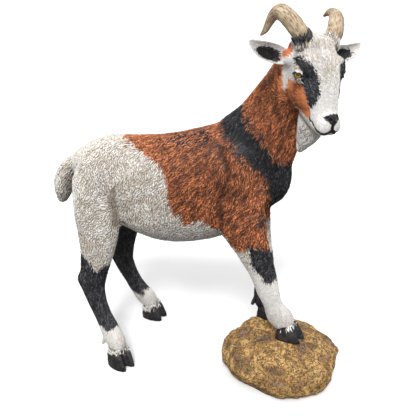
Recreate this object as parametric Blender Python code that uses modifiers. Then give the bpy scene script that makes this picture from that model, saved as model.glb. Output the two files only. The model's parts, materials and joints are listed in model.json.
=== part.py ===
"""A cast statue of a billy goat that stands with its front feet up on a boulder.

Metres, +Z up. The goat faces -Y with its right side towards -X, and turns its bowed head
to its right. The hind soles and the boulder's base are flat on z = 0. Soft masses are lofted
along the bones, fused into one body and parted again with thin cuts.
"""

import math

import bmesh
import bpy
import numpy as np
from mathutils import Matrix, Vector, noise
from mathutils.bvhtree import BVHTree

# Driving sizes of the whole figure
RUMP_HEIGHT = 0.70
GAP = 0.0003

# The head: its own frame has x to the goat's right, y down the bridge of the nose, z out of it
HEAD_ORIGIN = Vector((-0.100, -0.564, 0.915))
HEAD_YAW = math.radians(46.5)
HEAD_PITCH = math.radians(82)
HEAD_ROLL = math.radians(-2)
EYE_CENTRE = Vector((0.0612, -0.001, 0.0000))
EYE_RADIUS = 0.015
HORN_RADIUS = 0.0225
EAR_LENGTH = 0.119
EAR_HALF_WIDTH = 0.0255
EAR_ROOT = {"right": -0.043, "left": -0.031}
EAR_TIP_RISE = 0.011

SIDES = (("right", 1), ("left", -1))

# Feet: where each sole is, how high, and how far its toe turns to the goat's right
SOLES = {
    "hind_right": (Vector((-0.141, -0.010, 0)), 27),
    "hind_left": (Vector((0.154, -0.014, 0)), 12),
    "front_right": (Vector((-0.050, -0.519, 0.120)), 14),
    "front_left": (Vector((0.066, -0.439, 0.102)), 4),
}
HOOF_LENGTH = 0.080
HOOF_WIDTH = 0.068
HOOF_HEIGHT = 0.056
CLAW_HALF_WIDTH = 0.245 * HOOF_WIDTH
DEWCLAW_HEIGHT = 0.076
DEWCLAW_SPREAD = 0.013
BOULDER_SIZE = Vector((0.300, 0.338, 0.135))
BOULDER_CENTRE = Vector((-0.042, -0.496, 0))
BOULDER_TURN = 9
BOULDER_SQUARENESS = 2.4

# Mesh fineness
BODY_VOXEL = 0.0055
HEAD_VOXEL = 0.0035
BODY_TRIANGLES = 2090
HEAD_TRIANGLES = 1430

COLOURS = {
    "white": (0.80, 0.76, 0.70),
    "rust": (0.33, 0.10, 0.035),
    "black": (0.035, 0.037, 0.043),
    "horn": (0.52, 0.38, 0.22),
    "hoof": (0.02, 0.02, 0.022),
    "eye": (0.42, 0.22, 0.03),
    "boulder": (0.42, 0.24, 0.07),
}


# ---------------------------------------------------------------- tools
def clear_scene():
    for obj in list(bpy.data.objects):
        bpy.data.objects.remove(obj)


def collection(name):
    made = bpy.data.collections.new(name)
    bpy.context.scene.collection.children.link(made)
    return made


def place(name, mesh, group):
    obj = bpy.data.objects.new(name, mesh)
    group.objects.link(obj)
    return obj


def evaluated_mesh(obj):
    bpy.context.view_layer.update()
    depsgraph = bpy.context.evaluated_depsgraph_get()
    return bpy.data.meshes.new_from_object(obj.evaluated_get(depsgraph))


def settle(obj):
    """Apply an object's modifiers to its mesh."""
    mesh = evaluated_mesh(obj)
    obj.modifiers.clear()
    obj.data = mesh
    return obj


def boolean(obj, other, operation):
    modifier = obj.modifiers.new(operation, "BOOLEAN")
    modifier.operation = operation
    modifier.solver = "EXACT"
    modifier.object = other
    return settle(obj)


def grown(obj, distance):
    """A copy of a solid with each face moved outwards by at least the distance."""
    bm = bmesh.new()
    bm.from_mesh(obj.data)
    bm.normal_update()
    shifts = []
    for vertex in bm.verts:
        slope = min(vertex.normal.dot(face.normal) for face in vertex.link_faces)
        shifts.append(vertex.normal * distance / max(0.35, slope))
    for vertex, shift in zip(bm.verts, shifts):
        vertex.co += shift
    mesh = bpy.data.meshes.new(obj.name + "_grown")
    bm.to_mesh(mesh)
    bm.free()
    return place(mesh.name, mesh, CUTTERS)


def seat(piece, *hosts):
    """Cut a piece where it meets its hosts, leaving the gap between them."""
    for host in hosts:
        boolean(piece, grown(host, GAP), "DIFFERENCE")
    return keep_largest(piece)


def keep_largest(obj):
    """Drop the crumbs that a cut leaves inside a host."""
    bm = bmesh.new()
    bm.from_mesh(obj.data)
    islands, seen = [], set()
    for start in bm.faces:
        if start in seen:
            continue
        island, stack = [], [start]
        seen.add(start)
        while stack:
            face = stack.pop()
            island.append(face)
            for edge in face.edges:
                for near in edge.link_faces:
                    if near not in seen:
                        seen.add(near)
                        stack.append(near)
        islands.append(island)
    islands.sort(key=lambda faces: sum(f.calc_area() for f in faces))
    crumbs = [face for island in islands[:-1] for face in island]
    bmesh.ops.delete(bm, geom=crumbs, context="FACES")
    bm.to_mesh(obj.data)
    bm.free()
    return obj


# ---------------------------------------------------------------- lofted masses
def spline(table, steps):
    """Catmull-Rom curve through the rows of a table."""
    rows = np.array(table, dtype=float)
    rows = np.vstack([2 * rows[0] - rows[1], rows, 2 * rows[-1] - rows[-2]])
    curve = []
    for a, b, c, d in zip(rows, rows[1:], rows[2:], rows[3:]):
        for t in np.arange(steps) / steps:
            curve.append(
                b + 0.5 * t * (c - a + t * (2 * a - 5 * b + 4 * c - d + t * (3 * (b - c) + d - a)))
            )
    return np.array(curve + [rows[-2]])


def rounded(curve, cap):
    """Add closing rings that round off both ends of a path; columns 3 and 4 are radii."""
    def end(row, towards):
        radius = min(row[3], row[4]) * cap
        step = (row[:3] - towards[:3]) / np.linalg.norm(row[:3] - towards[:3])
        rings = []
        for angle in np.radians([35, 62, 82]):
            ring = row.copy()
            ring[:3] += step * radius * math.sin(angle)
            ring[3:5] *= math.cos(angle)
            rings.append(ring)
        return rings

    return np.array(end(curve[0], curve[1])[::-1] + list(curve) + end(curve[-1], curve[-2]))


def loft(name, stations, facing=None, steps=6, sides=20, cap=0.8, square=2.0):
    """A closed tube. A station is x, y, z, half width and half depth.

    Its rings stand square to the path, or all square to one direction if facing is given.
    """
    rows = rounded(spline(stations, steps), cap)
    tangents = np.gradient(rows[:, :3], axis=0)
    rings = []
    for row, tangent in zip(rows, tangents):
        along = Vector(facing or tangent).normalized()
        across = Vector((1, 0, 0)) - along * along.x
        across.normalize()
        deep = along.cross(across)
        ring = []
        for angle in np.arange(sides) * 2 * math.pi / sides:
            c, s = math.cos(angle), math.sin(angle)
            reach = (abs(c) ** square + abs(s) ** square) ** (-1 / square)
            ring.append(Vector(row[:3]) + reach * (across * row[3] * c + deep * row[4] * s))
        rings.append(ring)
    return skin_rings(name, rings)


def skin_rings(name, rings):
    """Join rings of points with quads and close both ends."""
    bm = bmesh.new()
    loops = [[bm.verts.new(point) for point in ring] for ring in rings]
    count = len(loops[0])
    for low, high in zip(loops, loops[1:]):
        for i in range(count):
            j = (i + 1) % count
            bm.faces.new((low[i], low[j], high[j], high[i]))
    bm.faces.new(loops[0][::-1])
    bm.faces.new(loops[-1])
    bmesh.ops.recalc_face_normals(bm, faces=bm.faces)
    mesh = bpy.data.meshes.new(name)
    bm.to_mesh(mesh)
    bm.free()
    return place(name, mesh, CUTTERS)


def ball(name, centre, radii, segments=20):
    bm = bmesh.new()
    bmesh.ops.create_uvsphere(bm, u_segments=segments, v_segments=segments // 2, radius=1)
    matrix = Matrix.Translation(centre) @ Matrix.Diagonal((*radii, 1))
    bmesh.ops.transform(bm, matrix=matrix, verts=bm.verts)
    mesh = bpy.data.meshes.new(name)
    bm.to_mesh(mesh)
    bm.free()
    return place(name, mesh, CUTTERS)


def fuse(name, masses, voxel, smoothing):
    """Melt overlapping masses into one closed skin."""
    bm = bmesh.new()
    for mass in masses:
        bm.from_mesh(mass.data)
    mesh = bpy.data.meshes.new(name)
    bm.to_mesh(mesh)
    bm.free()
    obj = place(name, mesh, CUTTERS)
    remesh = obj.modifiers.new("melt", "REMESH")
    remesh.mode = "VOXEL"
    remesh.voxel_size = voxel
    smooth = obj.modifiers.new("smooth", "SMOOTH")
    smooth.factor = 0.5
    smooth.iterations = smoothing
    return settle(obj)


def thinned(obj, triangles):
    """Reduce a mesh to about the given number of triangles."""
    faces = sum(len(p.vertices) - 2 for p in obj.data.polygons)
    decimate = obj.modifiers.new("thin", "DECIMATE")
    decimate.ratio = triangles / faces
    obj.modifiers.new("flat_faces", "TRIANGULATE")
    return settle(obj)


def sliced(obj, point, normal, name):
    """The part of a solid behind a plane, closed on the plane."""
    bm = bmesh.new()
    bm.from_mesh(obj.data)
    geom = bm.verts[:] + bm.edges[:] + bm.faces[:]
    bmesh.ops.bisect_plane(bm, geom=geom, plane_co=point, plane_no=normal, clear_outer=True)
    rim = [edge for edge in bm.edges if edge.is_boundary]
    bmesh.ops.holes_fill(bm, edges=rim)
    bmesh.ops.recalc_face_normals(bm, faces=bm.faces)
    mesh = bpy.data.meshes.new(name)
    bm.to_mesh(mesh)
    bm.free()
    return place(name, mesh, CUTTERS)


def slab(name, low, high, half_width):
    """A thin cutter from a low edge to a high one, both lines along X."""
    low, high = Vector(low), Vector(high)
    bm = bmesh.new()
    bmesh.ops.create_cube(bm, size=1)
    run = high - low
    turn = Vector((0, 1, 0)).rotation_difference(run).to_matrix().to_4x4()
    matrix = Matrix.Translation((low + high) / 2) @ turn @ Matrix.Diagonal(
        (2 * half_width, run.length, GAP, 1)
    )
    bmesh.ops.transform(bm, matrix=matrix, verts=bm.verts)
    mesh = bpy.data.meshes.new(name)
    bm.to_mesh(mesh)
    bm.free()
    return place(name, mesh, CUTTERS)


# ---------------------------------------------------------------- the head's frame
def head_matrix():
    facing = Vector((-math.sin(HEAD_YAW), -math.cos(HEAD_YAW), 0))
    right = Vector((facing.y, -facing.x, 0))
    down_nose = facing * math.cos(HEAD_PITCH) - Vector((0, 0, math.sin(HEAD_PITCH)))
    outwards = right.cross(down_nose)
    axes = Matrix((right, down_nose, outwards)).transposed()
    roll = Matrix.Rotation(HEAD_ROLL, 3, facing)
    return Matrix.Translation(HEAD_ORIGIN) @ (roll @ axes).to_4x4()


def to_world(obj):
    obj.data.transform(HEAD_MATRIX)
    return obj


# ---------------------------------------------------------------- flesh
def trunk_masses():
    # y, top, bottom, half width
    barrel = [
        (0.140, 0.650, 0.545, 0.052),
        (0.122, 0.668, 0.505, 0.076),
        (0.096, 0.678, 0.464, 0.096),
        (0.055, 0.696, 0.434, 0.108),
        (0.000, RUMP_HEIGHT, 0.424, 0.112),
        (-0.060, 0.703, 0.402, 0.119),
        (-0.120, 0.710, 0.389, 0.126),
        (-0.190, 0.725, 0.391, 0.126),
        (-0.260, 0.746, 0.405, 0.116),
        (-0.320, 0.766, 0.427, 0.104),
        (-0.370, 0.765, 0.450, 0.094),
        (-0.415, 0.745, 0.480, 0.082),
        (-0.450, 0.700, 0.530, 0.062),
    ]
    stations = [(0, y, (top + low) / 2, wide, (top - low) / 2) for y, top, low, wide in barrel]
    masses = [loft("barrel", stations, facing=(0, -1, 0), square=2.2, sides=36, cap=0.5)]
    for sign in (-1, 1):
        masses.append(ball("shoulder", (sign * 0.064, -0.350, 0.60), (0.046, 0.080, 0.13)))
        masses.append(ball("hip", (sign * 0.064, 0.040, 0.580), (0.050, 0.085, 0.085)))
    masses.append(ball("brisket", (0, -0.448, 0.618), (0.056, 0.052, 0.085)))
    return masses


def neck_masses():
    stations = [
        (0.000, -0.342, 0.615, 0.096, 0.146),
        (0.000, -0.388, 0.690, 0.082, 0.122),
        (-0.002, -0.425, 0.750, 0.071, 0.101),
        (-0.010, -0.452, 0.808, 0.061, 0.082),
        (-0.026, -0.482, 0.865, 0.056, 0.071),
        (-0.046, -0.510, 0.922, 0.053, 0.062),
    ]
    return [loft("neck_core", stations, sides=32)]


# x, y, z, half width and half depth from the top of each leg to the hoof
LEG_STATIONS = {
    "hind_right": [
        (-0.066, 0.062, 0.580, 0.046, 0.080),
        (-0.082, 0.060, 0.500, 0.046, 0.076),
        (-0.094, 0.057, 0.430, 0.042, 0.067),
        (-0.100, 0.061, 0.370, 0.035, 0.056),
        (-0.103, 0.072, 0.310, 0.030, 0.046),
        (-0.106, 0.081, 0.255, 0.027, 0.041),
        (-0.108, 0.073, 0.210, 0.023, 0.034),
        (-0.112, 0.054, 0.160, 0.022, 0.029),
        (-0.117, 0.034, 0.120, 0.024, 0.030),
        (-0.123, 0.018, 0.092, 0.028, 0.033),
        (-0.129, 0.004, 0.072, 0.028, 0.031),
        (-0.133, -0.002, 0.058, 0.025, 0.027),
    ],
    "hind_left": [
        (0.066, 0.060, 0.580, 0.046, 0.080),
        (0.082, 0.057, 0.500, 0.046, 0.076),
        (0.096, 0.056, 0.430, 0.042, 0.068),
        (0.104, 0.060, 0.370, 0.035, 0.056),
        (0.109, 0.070, 0.310, 0.030, 0.046),
        (0.113, 0.076, 0.255, 0.027, 0.041),
        (0.117, 0.066, 0.210, 0.023, 0.034),
        (0.124, 0.046, 0.160, 0.022, 0.029),
        (0.131, 0.026, 0.120, 0.024, 0.030),
        (0.138, 0.010, 0.092, 0.028, 0.033),
        (0.145, -0.003, 0.072, 0.028, 0.031),
        (0.149, -0.009, 0.058, 0.025, 0.027),
    ],
    "front_right": [
        (-0.070, -0.350, 0.560, 0.040, 0.080),
        (-0.080, -0.378, 0.490, 0.036, 0.072),
        (-0.084, -0.400, 0.440, 0.032, 0.056),
        (-0.085, -0.424, 0.390, 0.029, 0.045),
        (-0.084, -0.444, 0.340, 0.028, 0.038),
        (-0.080, -0.456, 0.295, 0.026, 0.035),
        (-0.073, -0.470, 0.250, 0.023, 0.029),
        (-0.066, -0.481, 0.220, 0.027, 0.034),
        (-0.059, -0.4925, 0.200, 0.029, 0.0375),
        (-0.053, -0.501, 0.184, 0.028, 0.037),
        (-0.050, -0.506, 0.174, 0.025, 0.033),
    ],
    "front_left": [
        (0.070, -0.345, 0.560, 0.040, 0.078),
        (0.078, -0.366, 0.490, 0.036, 0.068),
        (0.080, -0.382, 0.440, 0.032, 0.053),
        (0.080, -0.395, 0.390, 0.029, 0.043),
        (0.078, -0.409, 0.335, 0.028, 0.036),
        (0.075, -0.418, 0.285, 0.026, 0.033),
        (0.072, -0.417, 0.240, 0.022, 0.026),
        (0.070, -0.417, 0.205, 0.025, 0.028),
        (0.068, -0.420, 0.182, 0.028, 0.031),
        (0.067, -0.425, 0.166, 0.027, 0.029),
        (0.066, -0.430, 0.156, 0.024, 0.025),
    ],
}


def leg_masses():
    masses = [loft("leg_" + name, rows, sides=18) for name, rows in LEG_STATIONS.items()]
    for side in ("right", "left"):
        hock = Vector(LEG_STATIONS["hind_" + side][5][:3]) + Vector((0, 0.034, 0.010))
        masses.append(ball("hock_" + side, hock, (0.014, 0.018, 0.030)))
    return masses


def head_masses():
    # y, surface on the bridge side, surface on the jaw side, half width
    skull = [
        (-0.090, -0.020, -0.072, 0.034),
        (-0.074, 0.002, -0.092, 0.048),
        (-0.050, 0.021, -0.098, 0.056),
        (-0.020, 0.037, -0.094, 0.058),
        (0.008, 0.046, -0.088, 0.056),
        (0.036, 0.051, -0.081, 0.050),
        (0.064, 0.053, -0.067, 0.042),
        (0.090, 0.053, -0.046, 0.036),
        (0.112, 0.052, -0.023, 0.033),
        (0.130, 0.047, -0.003, 0.030),
        (0.140, 0.036, 0.007, 0.023),
    ]
    stations = [(0, y, (top + low) / 2, wide, (top - low) / 2) for y, top, low, wide in skull]
    masses = [loft("skull", stations, sides=28, square=2.3, cap=0.5)]
    masses.append(ball("nose", (0, 0.106, 0.043), (0.021, 0.015, 0.013)))
    masses.append(ball("chin", (0, 0.132, 0.010), (0.019, 0.016, 0.022)))
    masses.append(ball("crown", (0, -0.064, -0.022), (0.040, 0.022, 0.030)))
    masses.append(ball("topknot", (0, -0.069, -0.001), (0.048, 0.023, 0.022)))
    for sign in (-1, 1):
        masses.append(ball("orbit", (sign * 0.0495, -0.004, 0.001), (0.0250, 0.030, 0.0270)))
        masses.append(ball("brow", (sign * 0.047, -0.022, 0.008), (0.0215, 0.020, 0.020)))
        masses.append(ball("cheekbone", (sign * 0.034, 0.034, 0.000), (0.021, 0.052, 0.027)))
        masses.append(ball("cheek", (sign * 0.034, 0.024, -0.034), (0.022, 0.058, 0.048)))
        masses.append(ball("lip", (sign * 0.014, 0.120, 0.029), (0.021, 0.027, 0.024)))
        masses.append(ball("pedicle", (sign * 0.035, -0.070, -0.011), (0.023, 0.018, 0.020)))
        masses.append(ball("ear_root", (sign * 0.050, -0.040, -0.054), (0.022, 0.021, 0.021)))
    return [to_world(mass) for mass in masses]


def tail_solid():
    stations = [
        (0, 0.104, 0.634, 0.026, 0.020),
        (0, 0.146, 0.617, 0.030, 0.024),
        (0, 0.182, 0.586, 0.034, 0.028),
        (0, 0.203, 0.546, 0.033, 0.031),
        (0, 0.212, 0.506, 0.026, 0.026),
        (0, 0.217, 0.480, 0.015, 0.016),
    ]
    return thinned(fuse("tail", [loft("tail_core", stations)], 0.005, 4), 260)


def beard_solid():
    # the beard hangs from the whole underside of the jaw and ends in one point
    stations = [
        (0, 0.098, -0.024, 0.024, 0.046),
        (0, 0.122, -0.034, 0.024, 0.047),
        (0, 0.146, -0.049, 0.020, 0.039),
        (0, 0.170, -0.067, 0.014, 0.026),
        (0, 0.196, -0.084, 0.008, 0.011),
    ]
    core = to_world(loft("beard_core", stations, cap=0.5))
    return thinned(fuse("beard", [core], 0.004, 3), 240)


# ---------------------------------------------------------------- ears, horns, eyes
def ear_solid(name, side, sign):
    """A leaf-shaped cup that opens forwards: each ring is a crescent, thick at its back."""
    count = 9
    rings = []
    for i in range(13):
        t = i / 12
        across = EAR_HALF_WIDTH * math.sqrt(1 - ((t - 0.42) / 0.60) ** 2)
        cup = 0.75 * across * (1 - 0.5 * t)
        wall = 0.0055 * (1 - 0.50 * t)
        hollow = min(1, t / 0.35)
        rise = 0.026 * t + EAR_TIP_RISE * max(0, (t - 0.7) / 0.3) ** 2
        spot = Vector((sign * (0.052 + EAR_LENGTH * t), EAR_ROOT[side] - rise, -0.056 + 0.012 * t))
        outer, inner = [], []
        for j in range(count):
            u = -1 + 2 * j / (count - 1)
            depth = cup * (u * u - 1)
            aside = Vector((0, across * u, 0))
            outer.append(spot + aside + Vector((0, 0, depth - wall * (1.2 - abs(u)))))
            lift = (1 - hollow) * cup * 0.9 * (1 - u * u)
            inner.append(spot + aside * 0.94 + Vector((0, 0, depth + lift + wall * 0.2)))
        rings.append(outer + inner[::-1])
    return thinned(to_world(skin_rings(name, rings)), 240)


HORN_PATHS = {
    # x away from the middle, y, z and share of the horn's radius
    "right": [
        (0.037, -0.066, -0.012, 1.00),
        (0.040, -0.082, -0.012, 1.00),
        (0.050, -0.098, -0.013, 1.00),
        (0.061, -0.115, -0.018, 0.99),
        (0.072, -0.134, -0.030, 0.96),
        (0.080, -0.147, -0.048, 0.90),
        (0.085, -0.142, -0.068, 0.66),
        (0.088, -0.126, -0.084, 0.48),
        (0.091, -0.109, -0.097, 0.35),
        (0.096, -0.099, -0.108, 0.16),
    ],
    "left": [
        (0.040, -0.066, -0.011, 1.00),
        (0.045, -0.083, -0.010, 1.00),
        (0.054, -0.100, -0.010, 0.98),
        (0.063, -0.118, -0.017, 0.92),
        (0.077, -0.132, -0.033, 0.82),
        (0.088, -0.142, -0.052, 0.70),
        (0.093, -0.149, -0.071, 0.54),
        (0.097, -0.149, -0.089, 0.36),
        (0.100, -0.144, -0.108, 0.16),
    ],
}


def horn_solid(name, side, sign):
    stations = [
        (sign * x, y, z, HORN_RADIUS * share, HORN_RADIUS * share)
        for x, y, z, share in HORN_PATHS[side]
    ]
    return to_world(loft(name, stations, steps=2, sides=8, cap=0.9))


def eye_solid(name, sign):
    centre = EYE_CENTRE * Vector((sign, 1, 1))
    return to_world(ball(name, centre, (EYE_RADIUS,) * 3, segments=12))


# ---------------------------------------------------------------- feet and boulder
def foot_matrix(foot):
    sole, turn = SOLES[foot]
    return Matrix.Translation(sole) @ Matrix.Rotation(math.radians(-turn), 4, "Z")


def claw_mass(name, sign):
    """One toe of a cloven hoof: flat below, sloping in front, rounded at the heel."""
    # share of the height, then of the length at the heel and the toe, then of the claw's width
    levels = [(0.0, 0.42, -0.56, 0.94), (0.25, 0.44, -0.53, 1.0), (0.62, 0.40, -0.40, 0.98),
              (1.0, 0.33, -0.22, 0.86)]
    rings = []
    for height, heel, toe, wide in levels:
        ring = []
        for i in range(12):
            angle = 2 * math.pi * i / 12
            c, s = math.cos(angle), math.sin(angle)
            taper = 1 - 0.35 * max(0, -s) ** 2
            x = sign * (HOOF_WIDTH / 2 - CLAW_HALF_WIDTH) + CLAW_HALF_WIDTH * wide * c * taper
            y = HOOF_LENGTH * ((heel + toe) / 2 + (heel - toe) / 2 * s)
            ring.append(Vector((x, y, HOOF_HEIGHT * height)))
        rings.append(ring)
    return skin_rings(name, rings)


def hoof_solid(foot):
    """Two claws and the bulb of the heel that joins them."""
    hoof = claw_mass("hoof_" + foot, -1)
    boolean(hoof, claw_mass("claw", 1), "UNION")
    bulb = ball("heel", (0, 0.012, 0.036), (0.022, 0.021, 0.017), segments=10)
    boolean(hoof, bulb, "UNION")
    hoof.data.transform(foot_matrix(foot))
    return hoof


def dewclaw_solid(foot, name, sign, skin):
    """A small blunt cone on the back of the fetlock, where the leg's surface is."""
    matrix = foot_matrix(foot)
    start = matrix @ Vector((-sign * DEWCLAW_SPREAD, 0.120, DEWCLAW_HEIGHT))
    hit, normal, _, _ = skin.ray_cast(start, matrix.to_3x3() @ Vector((0, -1, 0)))
    top = hit - normal * 0.004 + Vector((0, 0, 0.004))
    tip = hit + normal * 0.007 - Vector((0, 0, 0.012))
    return loft(name, [(*top, 0.0090, 0.0080), (*tip, 0.0066, 0.0058)], steps=1, sides=6)


def boulder_solid():
    """A lumpy stone, flat below, with humps and hollows from smooth noise."""
    bm = bmesh.new()
    bmesh.ops.create_icosphere(bm, subdivisions=3, radius=1)
    for vertex in bm.verts:
        way = vertex.co.normalized()
        lump = 1 + 0.10 * noise.noise(way * 1.7 + Vector((3.1, 0.4, 5.2)))
        lump += 0.045 * noise.noise(way * 4.3 + Vector((7.7, 2.2, 0.6)))
        flat = sum(abs(c) ** BOULDER_SQUARENESS for c in way) ** (-1 / BOULDER_SQUARENESS)
        size = Vector((BOULDER_SIZE.x / 2, BOULDER_SIZE.y / 2, BOULDER_SIZE.z * 0.60))
        vertex.co = Vector([a * b for a, b in zip(way * flat * lump, size)])
    lift = BOULDER_SIZE.z * 0.38
    turn = Matrix.Rotation(math.radians(-BOULDER_TURN), 4, "Z")
    bmesh.ops.transform(bm, matrix=turn, verts=bm.verts)
    bmesh.ops.translate(bm, vec=BOULDER_CENTRE + Vector((0, 0, lift)), verts=bm.verts)
    mesh = bpy.data.meshes.new("boulder_whole")
    bm.to_mesh(mesh)
    bm.free()
    whole = place("boulder_whole", mesh, CUTTERS)
    return sliced(whole, (0, 0, 0), (0, 0, -1), "boulder")


# ---------------------------------------------------------------- materials and assembly
def paint(obj, colour, roughness):
    material = bpy.data.materials.new(obj.name)
    material.use_nodes = True
    shader = material.node_tree.nodes["Principled BSDF"]
    shader.inputs["Base Color"].default_value = (*COLOURS[colour], 1)
    shader.inputs["Roughness"].default_value = roughness
    shader.inputs["Metallic"].default_value = 0
    obj.data.materials.clear()
    obj.data.materials.append(material)


def finish(obj, name, colour, roughness=0.6):
    """Move a finished solid to the statue's collection, as triangles, with its paint."""
    bm = bmesh.new()
    bm.from_mesh(obj.data)
    bmesh.ops.triangulate(bm, faces=bm.faces)
    mesh = bpy.data.meshes.new(name)
    bm.to_mesh(mesh)
    bm.free()
    obj.name = "rough_" + name
    made = place(name, mesh, STATUE)
    paint(made, colour, roughness)
    return made


def loose_parts(obj):
    """Split a mesh into its closed bodies, each with its centre."""
    bm = bmesh.new()
    bm.from_mesh(obj.data)
    groups, seen = [], set()
    for start in bm.verts:
        if start in seen:
            continue
        group, stack = [], [start]
        seen.add(start)
        while stack:
            vertex = stack.pop()
            group.append(vertex)
            for edge in vertex.link_edges:
                other = edge.other_vert(vertex)
                if other not in seen:
                    seen.add(other)
                    stack.append(other)
        groups.append(group)
    parts = []
    for group in groups:
        if len(group) < 20:
            continue
        copy = bm.copy()
        copy.verts.ensure_lookup_table()
        keep = {vertex.index for vertex in group}
        rest = [vertex for vertex in copy.verts if vertex.index not in keep]
        bmesh.ops.delete(copy, geom=rest, context="VERTS")
        mesh = bpy.data.meshes.new("part")
        copy.to_mesh(mesh)
        copy.free()
        centre = sum((v.co for v in mesh.vertices), Vector()) / len(mesh.vertices)
        parts.append((centre, place("part", mesh, CUTTERS)))
    bm.free()
    return parts


clear_scene()
STATUE = collection("goat_statue")
CUTTERS = collection("cutters")
HEAD_MATRIX = head_matrix()

# Planes that part the head from the neck and the neck from the trunk
NAPE = (Vector((-0.026, -0.478, 0.866)), Vector((-0.42, -0.50, 0.76)).normalized())
WITHERS_CUT = (Vector((0, -0.382, 0.672)), Vector((0, -0.56, 0.83)).normalized())
# How far each mesh runs past the nape before it is thinned and cut back to it
OVERRUN = 0.012

everything = trunk_masses() + neck_masses() + leg_masses() + head_masses()
rough_body = fuse("rough_body", everything, BODY_VOXEL, 18)
rough_head = fuse("rough_head", head_masses() + neck_masses(), HEAD_VOXEL, 13)

point, normal = NAPE
body = sliced(rough_body, point + normal * OVERRUN, normal, "long_body")
head = sliced(rough_head, point - normal * OVERRUN, -normal, "long_head")
body = thinned(body, BODY_TRIANGLES)
head = thinned(head, HEAD_TRIANGLES)
body = sliced(body, point - normal * GAP / 2, normal, "body")
head = sliced(head, point + normal * GAP / 2, -normal, "head")

tail = seat(tail_solid(), body)
beard = seat(beard_solid(), head, body)
ears = {side: seat(ear_solid("ear_" + side, side, sign), head, body) for side, sign in SIDES}
horns = {side: seat(horn_solid("horn_" + side, side, sign), head) for side, sign in SIDES}
eyes = {side: eye_solid("eye_" + side, sign) for side, sign in SIDES}
for eye in eyes.values():
    boolean(head, grown(eye, GAP), "DIFFERENCE")
head = keep_largest(head)

hooves = {foot: seat(hoof_solid(foot), body) for foot in SOLES}
skin = BVHTree.FromObject(body, bpy.context.evaluated_depsgraph_get())
dewclaws = {}
for foot in SOLES:
    for side, sign in SIDES:
        name = f"dewclaw_{foot}_{side}"
        dewclaws[name] = seat(dewclaw_solid(foot, name, sign, skin), body)

boulder = boulder_solid()
for foot in ("front_right", "front_left"):
    boolean(boulder, grown(hooves[foot], GAP), "DIFFERENCE")
boulder = keep_largest(boulder)

point, normal = WITHERS_CUT
neck = sliced(body, point + normal * GAP / 2, -normal, "neck")
body = sliced(body, point - normal * GAP / 2, normal, "body")
boolean(body, slab("hind_cut", (0, -0.045, 0.370), (0, 0.200, 0.468), 0.25), "DIFFERENCE")
boolean(body, slab("front_cut", (0, -0.275, 0.395), (0, -0.520, 0.505), 0.25), "DIFFERENCE")

ANCHORS = {
    "trunk": Vector((0, -0.15, 0.58)),
    "hind_leg_right": Vector((-0.11, 0.06, 0.25)),
    "hind_leg_left": Vector((0.11, 0.06, 0.25)),
    "front_leg_right": Vector((-0.07, -0.45, 0.30)),
    "front_leg_left": Vector((0.07, -0.40, 0.30)),
}
for centre, part in loose_parts(body):
    name = min(ANCHORS, key=lambda key: (ANCHORS[key] - centre).length)
    finish(part, name, "rust" if name == "trunk" else "white")
finish(neck, "neck", "rust")
finish(head, "head", "white")
finish(tail, "tail", "white")
finish(beard, "beard", "white")
for side, _ in SIDES:
    finish(ears[side], "ear_" + side, "white")
    finish(horns[side], "horn_" + side, "horn")
    finish(eyes[side], "eye_" + side, "eye", 0.15)
for foot, hoof in hooves.items():
    finish(hoof, "hoof_" + foot, "hoof", 0.4)
for name, claw in dewclaws.items():
    finish(claw, name, "hoof", 0.4)
finish(boulder, "boulder", "boulder", 0.8)

# The origin is under the middle of the whole statue's box
corners = [vertex.co for obj in STATUE.objects for vertex in obj.data.vertices]
middle = [(min(c[axis] for c in corners) + max(c[axis] for c in corners)) / 2 for axis in (0, 1)]
for obj in STATUE.objects:
    obj.data.transform(Matrix.Translation((-middle[0], -middle[1], 0)))

for cutter in CUTTERS.objects:
    cutter.hide_render = True
    cutter.display_type = "WIRE"

print("middle of the box:", [round(value, 5) for value in middle])
print("triangles:", sum(len(obj.data.polygons) for obj in STATUE.objects))
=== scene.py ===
# %% [markdown]
# # A cast and painted goat with its front feet up on a boulder
# The real object is a life-size garden statue. It is cast in resin from a carved model, so its
# coat is not hair but thousands of short carved locks, and the paint is brushed on over them:
# a dark wash sits in the hollows and the crests stay clean. This lesson builds the looks around
# a fixed model of the solids, and never changes the size of anything.

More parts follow.
